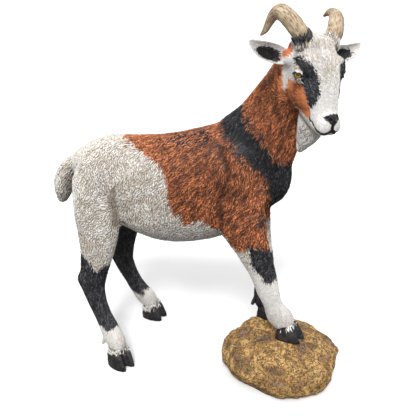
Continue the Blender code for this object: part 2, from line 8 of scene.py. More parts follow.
# %% Load the fixed model
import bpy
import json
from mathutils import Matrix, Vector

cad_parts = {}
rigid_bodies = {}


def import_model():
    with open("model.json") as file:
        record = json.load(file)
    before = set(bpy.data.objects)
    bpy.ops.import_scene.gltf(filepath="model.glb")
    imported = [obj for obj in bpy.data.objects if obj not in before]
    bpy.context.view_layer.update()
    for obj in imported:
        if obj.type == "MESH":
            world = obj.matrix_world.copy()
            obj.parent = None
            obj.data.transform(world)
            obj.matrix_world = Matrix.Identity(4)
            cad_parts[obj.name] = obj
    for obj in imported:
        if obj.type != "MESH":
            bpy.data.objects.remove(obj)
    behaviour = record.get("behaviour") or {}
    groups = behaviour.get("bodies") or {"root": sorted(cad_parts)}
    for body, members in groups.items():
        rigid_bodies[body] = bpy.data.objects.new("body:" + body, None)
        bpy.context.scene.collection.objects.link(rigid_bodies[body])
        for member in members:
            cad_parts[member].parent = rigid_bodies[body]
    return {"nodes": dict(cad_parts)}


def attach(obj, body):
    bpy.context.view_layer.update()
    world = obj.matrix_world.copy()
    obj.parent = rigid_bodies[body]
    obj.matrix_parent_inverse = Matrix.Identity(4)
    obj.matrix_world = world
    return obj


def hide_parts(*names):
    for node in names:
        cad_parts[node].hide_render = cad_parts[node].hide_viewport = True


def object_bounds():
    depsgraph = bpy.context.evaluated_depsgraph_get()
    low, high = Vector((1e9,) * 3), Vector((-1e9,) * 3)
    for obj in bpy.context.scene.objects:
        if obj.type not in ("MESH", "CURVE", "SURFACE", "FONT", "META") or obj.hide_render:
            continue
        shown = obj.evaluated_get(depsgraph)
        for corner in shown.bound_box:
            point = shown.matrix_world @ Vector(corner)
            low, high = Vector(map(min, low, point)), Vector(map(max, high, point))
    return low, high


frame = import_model()
solids_low, solids_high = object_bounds()
solids = frame["nodes"]
print("solids:", len(solids), "from", list(solids_low), "to", list(solids_high))

# %% What the lesson uses
import json
import math

import bmesh
import bpy
import numpy as np
from mathutils import Matrix, Vector, kdtree, noise
from mathutils.bvhtree import BVHTree

SIDES = (("right", 1), ("left", -1))
scene = bpy.context.scene

# %% [markdown]
# ## The head has its own axes
# The goat turns its bowed head to its right, so numbers for eyes, nose and horns would be hard
# to read in the room's axes. One matrix gives the head its own: x towards the goat's right, y
# down the bridge of the nose and z straight out of the forehead.

# %% The head's axes
HEAD_ORIGIN = np.array([-0.0967, -0.34889, 0.915])
HEAD_TURN, HEAD_BOW, HEAD_TILT = np.radians([46.5, 82, -2])


def head_axes():
    facing = Vector((-math.sin(HEAD_TURN), -math.cos(HEAD_TURN), 0))
    right = Vector((facing.y, -facing.x, 0))
    down_nose = facing * math.cos(HEAD_BOW) - Vector((0, 0, math.sin(HEAD_BOW)))
    axes = Matrix((right, down_nose, right.cross(down_nose))).transposed()
    return np.array(Matrix.Rotation(HEAD_TILT, 3, facing) @ axes)


HEAD_AXES = head_axes()


def to_head(points):
    return (np.asarray(points) - HEAD_ORIGIN) @ HEAD_AXES


def from_head(points):
    return np.asarray(points) @ HEAD_AXES.T + HEAD_ORIGIN


print("the nose points", (HEAD_AXES[:, 1]).round(3))

# %% [markdown]
# ## One skin under the whole coat
# The solids are separate low-poly blocks, but a cast body has no seams. The blocks are copied,
# swollen by half a millimetre so that they touch, and melted together by a voxel remesh. Modelling
# the body by hand in quads would also work, but the remesh keeps exactly to the solids' form.
# The head needs finer faces than the belly, so there are two melts that are sewn together at
# the nape.

# %% Reading and making meshes
def read(items, field, width, kind):
    """A row of numbers for each of a mesh's points, edges or faces."""
    out = np.empty(len(items) * width, kind)
    items.foreach_get(field, out)
    return out.reshape(-1, width)


def points_of(mesh):
    return read(mesh.vertices, "co", 3, np.float32).astype(float)


def normals_of(mesh):
    return read(mesh.vertices, "normal", 3, np.float32).astype(float)


def edges_of(mesh):
    return read(mesh.edges, "vertices", 2, np.int32)


def move_points(mesh, points):
    mesh.vertices.foreach_set("co", np.asarray(points, np.float32).ravel())
    mesh.update()


def from_bmesh(bm, name):
    mesh = bpy.data.meshes.new(name)
    bm.to_mesh(mesh)
    bm.free()
    return mesh


def piece(name, mesh):
    mesh.name = name
    obj = bpy.data.objects.new(name, mesh)
    scene.collection.objects.link(obj)
    return obj


def as_mesh(obj):
    """The object's mesh with its modifiers applied."""
    bpy.context.view_layer.update()
    return bpy.data.meshes.new_from_object(obj.evaluated_get(bpy.context.evaluated_depsgraph_get()))


def melted(names, voxel, swell=0.0005):
    """Copies of some solids, swollen a little and melted into one closed skin."""
    bm = bmesh.new()
    for name in names:
        bm.from_mesh(solids[name].data)
    bmesh.ops.remove_doubles(bm, verts=bm.verts, dist=1e-6)
    bm.normal_update()
    for vertex in bm.verts:
        vertex.co += vertex.normal * swell
    rough = piece("rough_melt", from_bmesh(bm, "rough_melt"))
    remesh = rough.modifiers.new("melt", "REMESH")
    remesh.mode = "VOXEL"
    remesh.voxel_size = voxel
    mesh = as_mesh(rough)
    bpy.data.objects.remove(rough)
    return mesh


# %% Melting the body and the head, and sewing them at the nape
BODY_GRAIN = 0.0055
HEAD_GRAIN = 0.0027
LEGS = ["front_leg_right", "front_leg_left", "hind_leg_right", "hind_leg_left"]
HEAD_PARTS = ["head", "ear_right", "ear_left", "eye_right", "eye_left", "neck"]
NAPE_WAY = Vector((-0.42, -0.50, 0.76)).normalized()
NAPE_SPOT = Vector((-0.0227, -0.26289, 0.866)) - NAPE_WAY * 0.020
NAPE_GAP = 0.002


def cut(mesh, spot, way):
    """Keep what is behind a plane, and leave the cut open."""
    bm = bmesh.new()
    bm.from_mesh(mesh)
    everything = bm.verts[:] + bm.edges[:] + bm.faces[:]
    bmesh.ops.bisect_plane(bm, geom=everything, plane_co=spot, plane_no=way, clear_outer=True)
    return bm


body = cut(melted(["trunk", "neck", "head", "tail"] + LEGS, BODY_GRAIN), NAPE_SPOT - NAPE_WAY * NAPE_GAP, NAPE_WAY)
body.from_mesh(from_bmesh(cut(melted(HEAD_PARTS, HEAD_GRAIN), NAPE_SPOT, -NAPE_WAY), "head_half"))
rims = [edge for edge in body.edges if edge.is_boundary]
bmesh.ops.bridge_loops(body, edges=rims)
print("open edges left at the nape:", sum(edge.is_boundary for edge in body.edges))
skin_mesh = from_bmesh(body, "skin")
print("skin faces:", len(skin_mesh.polygons))

# %% [markdown]
# ## Smoothing without shrinking
# Plain smoothing would shrink the thin legs and ears. Taubin's method takes one step in and a
# slightly longer step out, so facets and seams melt away and the form keeps its size. The ears
# get only a few rounds, because they are as thin as a coin.

# %% Smoothing the skin
def averaged(values, edges, count):
    """Each point's neighbours' mean."""
    a, b = edges.T
    rows = np.asarray(values, float).reshape(count, -1)
    total = [
        np.bincount(a, rows[b, k], count) + np.bincount(b, rows[a, k], count)
        for k in range(rows.shape[1])
    ]
    share = np.maximum(1, np.bincount(edges.ravel(), minlength=count))
    return (np.array(total) / share).T.reshape(np.shape(values))


def smoothed(points, edges, rounds, share=1.0):
    share = np.reshape(share, (-1, 1))
    for _ in range(rounds):
        for step in (0.5, -0.53):
            points = points + share * step * (averaged(points, edges, len(points)) - points)
    return points


def spread(values, edges, rounds):
    """Let values bleed into their neighbours."""
    for _ in range(rounds):
        values = 0.5 * values + 0.5 * averaged(values, edges, len(values))
    return values


def ramp(low, high, values):
    t = np.clip((np.asarray(values, float) - low) / (high - low), 0, 1)
    return t * t * (3 - 2 * t)


points = points_of(skin_mesh)
edges = edges_of(skin_mesh)
above_nape = (points - np.array(NAPE_SPOT)) @ np.array(NAPE_WAY)
beside = np.abs(to_head(points)[:, 0])
on_ear = ramp(0.066, 0.078, beside) * (above_nape > 0)
points = smoothed(points, edges, 5)
points = smoothed(points, edges, 10, 1 - on_ear)
points = smoothed(points, edges, 24, 1 - ramp(-0.010, 0.010, above_nape))
move_points(skin_mesh, points)
print("smoothed", len(points), "points")

# %% [markdown]
# ## Finer faces where the chisel was finest
# Eyelids and lips are a few millimetres thick, far less than the head's faces can hold. Only the
# quads near them are divided, twice round the eyes, so the rest of the skin stays light.

# %% Dividing the skin round the eyes and the mouth
EYE = np.array([0.0612, -0.001, 0.0])
EYE_SIZE = 0.015


def refine(mesh, centre, reach):
    bm = bmesh.new()
    bm.from_mesh(mesh)
    spot = Vector(from_head(centre))
    near = [e for e in bm.edges if all((v.co - spot).length < reach for v in e.verts)]
    bmesh.ops.subdivide_edges(bm, edges=near, cuts=1, use_grid_fill=True)
    bmesh.ops.triangulate(bm, faces=[f for f in bm.faces if len(f.verts) > 4])
    bm.to_mesh(mesh)
    bm.free()


for side, sign in SIDES:
    for reach in (0.034, 0.021):
        refine(skin_mesh, EYE * (sign, 1, 1), reach)
refine(skin_mesh, (0, 0.119, 0.032), 0.044)
points = points_of(skin_mesh)
edges = edges_of(skin_mesh)
print("skin faces after dividing:", len(skin_mesh.polygons))

# %% [markdown]
# ## Lids round each eye
# A carved eye is a slit between two lids, with the ball set back behind them. Each point near an
# eye is read as a direction from the eye's centre: one angle along the slit and one across it.
# Inside the almond the skin drops behind the ball, on its rim it rises into a lid, and a crease
# runs round the lid. Moving points only towards or away from the centre keeps the mesh sound.

# %% Carving the lids
SLIT_HALF_LENGTH = 1.06
SLIT_HALF_HEIGHT = 0.41
SLIT_WAY = (0.86, 0.22, 0.45)
GAZE_WAY = (0.84, 0.06, 0.52)
FAR_BEYOND = 3.0
LID_REACH = 0.036
# angle beyond the slit, height over the ball
LID = [(-0.05, -0.0030), (-0.01, -0.0020), (0.03, 0.0014), (0.08, 0.0022), (0.18, 0.0022), (0.27, 0.0010),
       (0.36, 0.0022), (0.5, 0.0030)]


def eye_axes(sign, way):
    """Along the slit to its inner corner, across it, and out of the eye, in the head's axes."""
    out = np.array(way) * (sign, 1, 1)
    out /= np.linalg.norm(out)
    along = np.array((-0.45, 0.36, 0.82)) * (sign, 1, 1)
    along -= out * (along @ out)
    along /= np.linalg.norm(along)
    return np.array([along, np.cross(out, along), out])


def beyond_slit(directions, sign):
    """Angle outside the almond opening; negative inside it."""
    a, b, c = (directions @ eye_axes(sign, SLIT_WAY).T).T
    along = np.arctan2(a, np.maximum(c, 1e-3)) / (SLIT_HALF_LENGTH * np.where(a > 0, 1.18, 1))
    across = np.arctan2(b, np.hypot(a, c))
    gap = (np.abs(across) - SLIT_HALF_HEIGHT * (1 - np.abs(along) ** 2.2)) * 0.85
    return np.where(c > 0, gap, FAR_BEYOND)


def profile(table, values):
    at, height = np.array(table).T
    return np.interp(values, at, height)


lidded = np.zeros(len(points))
for side, sign in SIDES:
    centre = from_head(EYE * (sign, 1, 1))
    away = points - centre
    distance = np.linalg.norm(away, axis=1)
    close = distance < LID_REACH
    beyond = np.full(len(points), FAR_BEYOND)
    beyond[close] = beyond_slit(away[close] / distance[close, None] @ HEAD_AXES, sign)
    hold = 1 - ramp(0.26, 0.75, beyond)
    moved = distance + hold * (EYE_SIZE + profile(LID, beyond) - distance)
    stretch = moved / np.maximum(distance, 1e-6)
    points = np.where(close[:, None], centre + away * stretch[:, None], points)
    lidded = np.maximum(lidded, 1 - ramp(0.20, 0.60, beyond))
print("points on the lids:", int((lidded > 0.5).sum()))

# %% [markdown]
# ## Nose, mouth and folds
# These are grooves that a loop tool would cut: the nostrils, the cleft under the nose, the line
# of the mouth, and the folds where the legs join the body. Each follows a short path, and the
# skin sinks under it with a soft edge.

# %% Carving grooves
def off_path(points, path):
    """Distance of each point from a line through the path's points, and how far along it is."""
    best = np.full(len(points), np.inf)
    along = np.zeros(len(points))
    for i, (start, end) in enumerate(zip(path, path[1:])):
        run = np.subtract(end, start)
        t = np.clip((points - start) @ run / (run @ run), 0, 1)
        gap = np.linalg.norm(points - (start + t[:, None] * run), axis=1)
        along = np.where(gap < best, (i + t) / (len(path) - 1), along)
        best = np.minimum(best, gap)
    return best, along


def groove(points, normals, path, depth, width):
    gap, along = off_path(points, np.asarray(path))
    ends = ramp(0, 0.12, along) * ramp(1, 0.88, along) if depth > 0 else 1
    return points - normals * (depth * ends * np.exp(-((gap / width) ** 2)))[:, None]


MOUTH = [(0, 0.135, 0.047), (0.010, 0.139, 0.043), (0.021, 0.137, 0.036), (0.029, 0.128, 0.027),
         (0.033, 0.117, 0.015), (0.033, 0.104, 0.003)]
NOSTRIL = [(0.0070, 0.113, 0.056), (0.0105, 0.106, 0.056), (0.0150, 0.1005, 0.054), (0.0205, 0.100, 0.049)]
PHILTRUM = [(0, 0.108, 0.056), (0, 0.122, 0.052), (0, 0.137, 0.046)]
NOSE_RIM = [(-0.022, 0.0955, 0.048), (-0.012, 0.0915, 0.052), (0, 0.0905, 0.054), (0.012, 0.0915, 0.052),
            (0.022, 0.0955, 0.048)]
STIFLE = [(-0.075, 0.185, 0.440), (-0.105, 0.198, 0.458), (-0.105, 0.207, 0.500), (-0.105, 0.213, 0.537),
          (-0.108, 0.206, 0.575)]
ELBOW = [(-0.095, -0.092, 0.440), (-0.118, -0.097, 0.487), (-0.118, -0.098, 0.528), (-0.118, -0.102, 0.567),
         (-0.118, -0.119, 0.608), (-0.118, -0.124, 0.650), (-0.110, -0.107, 0.687), (-0.100, -0.093, 0.735)]
FOREARM = [(-0.105, -0.150, 0.500), (-0.105, -0.167, 0.524), (-0.105, -0.181, 0.537), (-0.100, -0.203, 0.533),
           (-0.085, -0.230, 0.522)]
SHOULDER = [(-0.110, -0.099, 0.550), (-0.110, -0.116, 0.575), (-0.112, -0.135, 0.591), (-0.112, -0.160, 0.590)]
DEEPEST_FOLD = 0.0070
# path, depth, width
FOLDS = ((STIFLE, DEEPEST_FOLD, 0.013), (ELBOW, DEEPEST_FOLD, 0.013), (FOREARM, 0.0045, 0.010),
         (SHOULDER, 0.0035, 0.009))


def mirrored(path):
    return [(-x, y, z) for x, y, z in path]


def tree_of(*meshes):
    """A search tree over the faces of some meshes."""
    corners, faces = [], []
    for mesh in meshes:
        faces += [[i + len(corners) for i in face.vertices] for face in mesh.polygons]
        corners += [vertex.co.copy() for vertex in mesh.vertices]
    return BVHTree.FromPolygons(corners, faces)


def with_points(points):
    move_points(skin_mesh, points)
    return normals_of(skin_mesh)


normals = with_points(points)
tree = tree_of(skin_mesh)


def laid(path):
    """A path laid on the skin."""
    return np.array([tree.find_nearest(Vector(p))[0] for p in path])


mouth = laid(from_head(mirrored(MOUTH)[::-1] + MOUTH[1:]))
points = groove(points, normals, mouth, 0.0028, 0.0026)
for path, deep, wide in ((NOSE_RIM, -0.0009, 0.0040), (NOSTRIL, 0.0048, 0.0026), (mirrored(NOSTRIL), 0.0048, 0.0026),
                         (PHILTRUM, 0.0014, 0.0018)):
    points = groove(points, normals, laid(from_head(path)), deep, wide)
# Painted shade: each point stores how far its paint is darkened along the carved folds, standing in for the shade
# there; the ear cups, the underside of the tail, the backs of the thighs and the ear roots add to it below.
crease = np.zeros(len(points))
for fold, deep, wide in FOLDS:
    for path in (laid(fold), laid(mirrored(fold))):
        gap, _ = off_path(points, path)
        crease = np.maximum(crease, deep / DEEPEST_FOLD * np.exp(-(gap / (0.8 * wide)) ** 2))
        points = groove(points, normals, path, deep, wide)
normals = with_points(points)
print("carved the nose, the mouth and", 2 * len(FOLDS), "folds")

# %% [markdown]
# ## What grows where
# Each point of the skin takes its part's name from the nearest solid. The name decides how deep
# the coat is there, how long and wide its locks are, and how much they ruffle. On the real goat
# the locks are as long as a finger joint on the rump and finer than rice on the face, so the
# numbers then bleed into each other, and no step shows between one part and the next.

# %% Naming the skin's points after the solids
FLESH = ["trunk", "neck", "head", "ear_right", "ear_left", "tail"] + LEGS + ["eye_right", "eye_left"]


def nearest_solid(points, names):
    meshes = [solids[name].data for name in names]
    owner = np.repeat(np.arange(len(names)), [len(mesh.polygons) for mesh in meshes])
    solid_tree = tree_of(*meshes)
    return owner[[solid_tree.find_nearest(Vector(point))[2] for point in points]]


part = nearest_solid(points, FLESH)


def among(*names):
    return np.isin(part, [FLESH.index(name) for name in names])


h = to_head(points)
x, y, z = points.T
on_head, on_neck = among("head", "eye_right", "eye_left"), among("neck")
on_ears, on_trunk, on_tail = among("ear_right", "ear_left"), among("trunk"), among("tail")
on_fore, on_hind = among(*LEGS[:2]), among(*LEGS[2:])
on_legs = on_fore | on_hind
SOLE_HEIGHTS = {"front_leg_right": 0.120, "front_leg_left": 0.102, "hind_leg_right": 0.0, "hind_leg_left": 0.0}
above_sole = np.full(len(points), 1.0)
for name, height in SOLE_HEIGHTS.items():
    above_sole[among(name)] = z[among(name)] - height
print({name: int(among(name).sum()) for name in FLESH})

# %% How deep, long, wide, high and ruffled the coat is
COAT = {
    # part: depth, lock length, lock width, lock rise, share of points with a lock, ruffle
    "trunk": (0.0030, 0.0125, 0.0038, 0.0026, 1.0, 0.60),
    "neck": (0.0028, 0.0120, 0.0030, 0.0022, 1.0, 0.30),
    "tail": (0.0030, 0.0220, 0.0050, 0.0030, 1.0, 0.40),
    "thigh": (0.0026, 0.0115, 0.0036, 0.0022, 1.0, 0.55),
    "shank": (0.0011, 0.0090, 0.0024, 0.0010, 0.9, 0.22),
    "fringe": (0.0008, 0.0150, 0.0030, 0.0013, 1.0, 0.15),
    "head": (0.0014, 0.0105, 0.0031, 0.0016, 1.0, 0.50),
    "face": (0.0005, 0.0075, 0.0021, 0.0009, 0.85, 0.25),
    "bare": (0.0, 0.0040, 0.0015, 0.0003, 0.0, 0.10),
    "ear": (0.0003, 0.0060, 0.0022, 0.0005, 0.35, 0.15),
}


def blended(low, high, share):
    return low + (high - low) * share[:, None]


def row(name):
    return np.tile(COAT[name], (len(points), 1))


knee = np.where(on_fore, 0.235, 0.300)
leg_rows = blended(row("shank"), row("thigh"), ramp(knee - 0.030, knee + 0.050, above_sole))
leg_rows = blended(row("fringe"), leg_rows, ramp(0.066, 0.082, above_sole))
head_rows = blended(row("head"), row("face"), ramp(0.020, 0.085, h[:, 1]) * ramp(-0.09, -0.02, h[:, 2]))
near_nose = np.maximum(ramp(0.082, 0.100, h[:, 1]) * ramp(-0.02, 0.0, h[:, 2]), lidded)
mouth_gap, _ = off_path(points, mouth)
near_nose = np.maximum(near_nose, 1 - ramp(0.004, 0.009, mouth_gap))
head_rows = blended(head_rows, row("bare"), near_nose)
behind_face = ramp(0.130, 0.154, np.abs(h[:, 0]) - h[:, 2])
head_rows = blended(head_rows, row("neck"), behind_face)
coat = row("trunk")
for mask, rows in ((on_neck, row("neck")), (on_tail, row("tail")), (on_legs, leg_rows), (on_head, head_rows),
                   (on_ears, row("ear"))):
    coat[mask] = rows[mask]
coat = spread(coat, edges, 10)
coat[:, :5] = blended(coat[:, :5], row("bare")[:, :5], near_nose * on_head)
depth, lock_length, lock_width, lock_rise, lock_share, ruffle = coat.T
rump = ramp(0.10, 0.20, y) * ramp(0.30, 0.38, z)
ruffle = ruffle * np.where(on_trunk, 0.55 + 0.45 * ramp(-0.02, 0.14, y), 1) + 0.10 * rump
print("coat depth from %.1f to %.1f mm" % (1000 * depth.min(), 1000 * depth.max()))

# %% [markdown]
# ## The lie of the coat
# Hair on a goat runs back along the trunk, falls down the flanks, the neck and the legs, and on
# the face runs up from the nose. Each point gets an arrow for that. Smooth noise then turns the
# arrows left and right, most on the rump, where the carver made whirls.

# %% Drawing the arrows
flow = np.zeros((len(points), 3))
fall = np.interp(z, [0.40, 0.50, 0.60, 0.72], [1.0, 1.9, 1.9, 1.4])
flow[on_trunk] = np.stack([0 * x, 1 + 0 * x, -fall], 1)[on_trunk]
rump_way = np.stack([0.2 * np.sign(x), 0.45 + 0 * x, -1 + 0 * x], 1)
flow = blended(flow, rump_way, rump * on_trunk)
chest = ramp(-0.24, -0.30, y) * (z < 0.70)
flow = blended(flow, np.tile((0.0, 0.15, -1.0), (len(x), 1)), chest * on_trunk)
flow[on_neck] = (0.13, 0.48, -0.87)
flow[on_tail] = (0, 0.35, -0.9)
flow[on_legs] = (0, 0.10, -1)
outward = np.clip(h[:, 0] / 0.045, -1, 1)
to_side = ramp(0.0, 0.06, np.abs(h[:, 0]) - h[:, 2])
face_way = np.stack([0.75 * outward * (1 - to_side), -1 + 0.3 * to_side, -0.1 - 0.9 * to_side], 1) @ HEAD_AXES.T
flow[on_head] = face_way[on_head]
ear_way = np.stack([np.sign(h[:, 0]), 0 * x - 0.25, 0 * x], 1) @ HEAD_AXES.T
flow[on_ears] = ear_way[on_ears]
flow = spread(flow, edges, 14)


def noise_at(points, scale, shift=0.0):
    return np.array([noise.noise(Vector(p) * scale + Vector((shift, 0, 0))) for p in points])


def turned(vectors, axes, angles):
    """Each vector turned about its own axis."""
    c, s = np.cos(angles)[:, None], np.sin(angles)[:, None]
    return vectors * c + np.cross(axes, vectors) * s + axes * (axes * vectors).sum(1)[:, None] * (1 - c)


flow -= normals * (flow * normals).sum(1)[:, None]
flow /= np.maximum(np.linalg.norm(flow, axis=1), 1e-6)[:, None]
swirl = noise_at(points, 14) * 1.1 + noise_at(points, 38, 5.0) * 0.9
flow = turned(flow, normals, swirl * ruffle * 1.6)

# %% Sinking the skin by the coat's depth
points = points - normals * depth[:, None]
points = smoothed(points, edges, 2, 1 - np.maximum(near_nose, on_ears))
normals = with_points(points)
h = to_head(points)
print("the skin lies under the coat")

# %% [markdown]
# ## The markings
# The painter followed a real coat: a rust saddle, a black collar, black stockings, a white face
# with a dark stripe by each eye. Each patch is an outline drawn flat, in metres, and every point
# of the skin stores how far inside it lies. A distance keeps the border sharp on any mesh, and
# the locks, which take their colour from their roots, turn it into the ragged edge of a coat.

# %% Distances inside flat outlines
def inside(flat, outline):
    """How far each flat point is inside a closed outline; negative outside."""
    px, py = flat.T
    nearest = np.full(len(flat), np.inf)
    within = np.zeros(len(flat), bool)
    for (x0, y0), (x1, y1) in zip(outline, outline[1:] + outline[:1]):
        run = np.array([x1 - x0, y1 - y0])
        t = np.clip(((px - x0) * run[0] + (py - y0) * run[1]) / (run @ run), 0, 1)
        nearest = np.minimum(nearest, np.hypot(px - x0 - t * run[0], py - y0 - t * run[1]))
        crosses = (y0 > py) != (y1 > py)
        within ^= crosses & (px < (x1 - x0) * (py - y0) / ((y1 - y0) or 1e-9) + x0)
    return np.where(within, nearest, -nearest)


# %% Patches on the body, drawn from the side as y and z
SADDLE = [(0.240, 0.760), (0.219, 0.699), (0.168, 0.690), (0.121, 0.673), (0.069, 0.649), (0.043, 0.629),
          (0.041, 0.572), (0.032, 0.528), (0.007, 0.507), (-0.016, 0.487), (-0.050, 0.498), (-0.080, 0.476),
          (-0.106, 0.470), (-0.130, 0.452), (-0.150, 0.430), (-0.164, 0.418), (-0.180, 0.430), (-0.193, 0.433),
          (-0.215, 0.434), (-0.240, 0.427), (-0.320, 0.425), (-0.60, 0.42), (-0.60, 1.2), (0.24, 1.2)]
COLLAR = [(-0.084, 0.800), (-0.100, 0.860), (-0.134, 0.850), (-0.142, 0.812), (-0.154, 0.785), (-0.181, 0.748),
          (-0.215, 0.705), (-0.251, 0.669), (-0.275, 0.658), (-0.40, 0.650), (-0.40, 0.530), (-0.228, 0.508),
          (-0.236, 0.540), (-0.242, 0.575), (-0.230, 0.625), (-0.186, 0.673), (-0.146, 0.718), (-0.103, 0.749),
          (-0.088, 0.775)]
STOCKING = [(0.40, 0.385), (0.305, 0.360), (0.276, 0.308), (0.258, 0.312), (0.240, 0.329), (0.10, 0.345),
            (0.10, 0.120), (0.218, 0.123), (0.238, 0.110), (0.264, 0.124), (0.40, 0.130)]
FAR_STOCKING = [(0.40, 0.50), (0.10, 0.50), (0.10, 0.116), (0.212, 0.114), (0.225, 0.096), (0.248, 0.120),
                (0.40, 0.125)]
KNEE_PATCH = [(-0.184, 0.440), (-0.192, 0.411), (-0.205, 0.372), (-0.220, 0.352), (-0.240, 0.334), (-0.254, 0.326),
              (-0.266, 0.350), (-0.32, 0.352), (-0.32, 0.425), (-0.240, 0.428), (-0.205, 0.438)]
side_view = points[:, 1:]
jag = noise_at(points, 55, 3.0) * 0.010 + noise_at(points, 20, 9.0) * 0.008
rust = inside(side_view, SADDLE) + jag
black = inside(side_view, COLLAR) + jag * 0.9
leg_black = np.full(len(points), -1.0)
for name, outline in (("hind_leg_right", STOCKING), ("front_leg_right", KNEE_PATCH)):
    leg_black = np.where(among(name), inside(side_view, outline), leg_black)
far_hind = np.maximum(inside(side_view, STOCKING), np.minimum(inside(side_view, FAR_STOCKING), 0.118 - x))
leg_black = np.where(among("hind_leg_left"), far_hind, leg_black)
far_fore = np.minimum(0.360 + 0.25 * (x - 0.08) - z, z - 0.10)
leg_black = np.where(among("front_leg_left"), far_fore, leg_black)
white_strip = np.minimum.reduce([0.078 - x, -0.185 - y, 0.46 - z])
rust = np.where(among("front_leg_left"), np.minimum(rust, -white_strip), rust)
black = np.maximum(black, leg_black + jag * 0.7)
print("rust points %d, black points %d" % ((rust > black).sum(), (black > 0).sum()))

# %% Patches on the head, drawn by how far round the face and how far down the nose
STRIPE = [(0.079, -0.042), (0.061, -0.041), (0.037, -0.034), (0.017, -0.020), (-0.002, -0.001), (-0.012, 0.022),
          (-0.012, 0.043), (-0.006, 0.059), (0.012, 0.076), (0.023, 0.084), (0.031, 0.078), (0.037, 0.054),
          (0.043, 0.035), (0.052, 0.020), (0.053, 0.006), (0.050, -0.006), (0.056, -0.018), (0.074, -0.028)]
CHEEK = [(0.103, 0.015), (0.077, 0.019), (0.055, 0.020), (0.034, 0.030), (0.030, 0.059), (0.026, 0.080),
         (0.026, 0.100), (0.032, 0.106), (0.055, 0.092), (0.081, 0.080), (0.14, 0.075), (0.14, 0.045), (0.112, 0.036)]
TEMPLE = [(0.083, -0.060), (0.098, -0.074), (0.145, -0.076), (0.145, -0.052), (0.108, -0.040), (0.092, -0.048)]
NOSE = [(-0.024, 0.098), (-0.012, 0.0945), (0, 0.0935), (0.012, 0.0945), (0.024, 0.098), (0.024, 0.104),
        (0.015, 0.111), (0.0075, 0.118), (0.0050, 0.128), (0.0050, 0.140), (-0.0050, 0.140), (-0.0050, 0.128),
        (-0.0075, 0.118), (-0.015, 0.111), (-0.024, 0.104)]
HORN_ROOT = ((0.037, -0.066, -0.012), (0.050, -0.098, -0.013))
round_face = np.abs(h[:, 0]) - h[:, 2]
face_view = np.stack([round_face, h[:, 1]], 1)
head_jag = noise_at(points, 130, 1.0) * 0.0035
nape_hair = np.minimum(-0.060 - h[:, 2], -0.040 - h[:, 1])
head_rust = [round_face - 0.127, inside(face_view, CHEEK), inside(face_view, TEMPLE), nape_hair]
head_rust = np.maximum.reduce(head_rust) + head_jag
head_black = inside(face_view, STRIPE) + head_jag
nose_leather = np.minimum(inside(h[:, :2], NOSE), h[:, 2] - 0.030)
lips = 0.0032 + 0.0028 * ramp(0.030, 0.012, np.abs(h[:, 0])) - mouth_gap
slit_rim = np.full(len(points), -1.0)
for side, sign in SIDES:
    away = h - EYE * (sign, 1, 1)
    distance = np.linalg.norm(away, axis=1)
    close = distance < 0.03
    across = away[close] @ eye_axes(sign, SLIT_WAY)[1] * sign
    # A black rim is painted round the slit. It is wider above, where it also paints the shade under the upper lid.
    rim = np.where(across > 0, 0.17, 0.09) - beyond_slit(away[close] / distance[close, None], sign)
    slit_rim[close] = np.maximum(slit_rim[close], rim * 0.014)
ring_gap, _ = off_path(h, np.array(HORN_ROOT))
horn_ring = np.minimum(0.0250 - ring_gap, -0.074 - h[:, 1])
head_black = np.maximum.reduce([head_black, nose_leather, lips, slit_rim, horn_ring + head_jag])
print("head points: rust %d, black %d" % ((head_rust > 0).sum(), (head_black > 0).sum()))

# %% The ears: dark cups with a pale rim
EAR_ROOTS = {"right": -0.043, "left": -0.031}
facing = normals @ HEAD_AXES
ear_cup = np.full(len(points), -1.0)
for side, sign in SIDES:
    t = (sign * h[:, 0] - 0.052) / 0.119
    aside = h[:, 1] - (EAR_ROOTS[side] - 0.026 * t)
    cup = (1 - np.hypot((t - 0.46) / 0.34, (aside - 0.0025) / 0.0165)) * 0.0165
    cup = np.minimum(cup, facing[:, 2] * 0.03)
    ear_cup = np.where(sign * h[:, 0] > 0, cup, ear_cup)
skull = on_head | on_ears
# Painted shade inside the ear cups.
crease = np.where(on_ears, ramp(0.0, 0.003, ear_cup), crease)
head_black = np.where(on_ears, ear_cup + head_jag, head_black)
head_rust = np.where(on_ears, -0.02, head_rust)
rust = np.where(skull, head_rust, rust)
black = np.where(skull, head_black, black)
print("points in the ear cups:", int((on_ears & (ear_cup > 0)).sum()))

# %% Soot along the withers, painted shade in the folds and hollows, and the skin that shows bare
soot = ramp(0.110, 0.020, np.abs(x)) * ramp(0.22, -0.08, y) * (z > 0.60) * on_trunk
soot = np.maximum(soot, 0.62 * ramp(-0.040, 0.0, black) * (z > 0.45) * (on_trunk | on_neck))
bridge = ramp(-0.010, 0.045, h[:, 1]) * ramp(-0.05, 0.0, h[:, 2]) * on_head
temple = ramp(0.070, 0.085, round_face) * ramp(0.145, 0.130, round_face)
temple = temple * ramp(-0.080, -0.062, h[:, 1]) * ramp(0.05, 0.03, h[:, 1]) * on_head
ear_root = ramp(0.0, 0.003, rust) * ramp(-0.025, -0.035, h[:, 1]) * on_head
lockless = (1 - lock_share) * (1 - 0.7 * ear_root)
shin = (0.95 - 0.30 * ramp(0.16, 0.08, above_sole)) * ramp(0.30, 0.20, above_sole)
bareness = np.maximum.reduce([0.85 * near_nose * on_head, 0.95 * temple, 0.9 * lockless, 0.95 * bridge, 0.35 * skull,
                              0.85 * on_ears, shin])
# Painted shade under the tail, at the back of the thighs and at the roots of the ears.
under_tail = on_tail * ramp(0.2, -0.6, normals[:, 1])
back_of_thigh = on_hind * ramp(0.23, 0.31, y) * ramp(0.30, 0.36, z)
crease = np.maximum.reduce([crease, 0.35 * ear_root, 0.6 * under_tail, 0.40 * back_of_thigh])
print("bare points:", int((bareness > 0.5).sum()))

# %% [markdown]
# ## Unwrapping the skin
# A lock is too small to be unwrapped on its own, so each one borrows a spot of colour from the
# skin's flat map, at its root's place. The map is made by sorting faces by part and by the way
# they face, laying each group flat, and packing the groups into a square in rows. A smart
# projection would do as well, but this is quick and the same on every run.

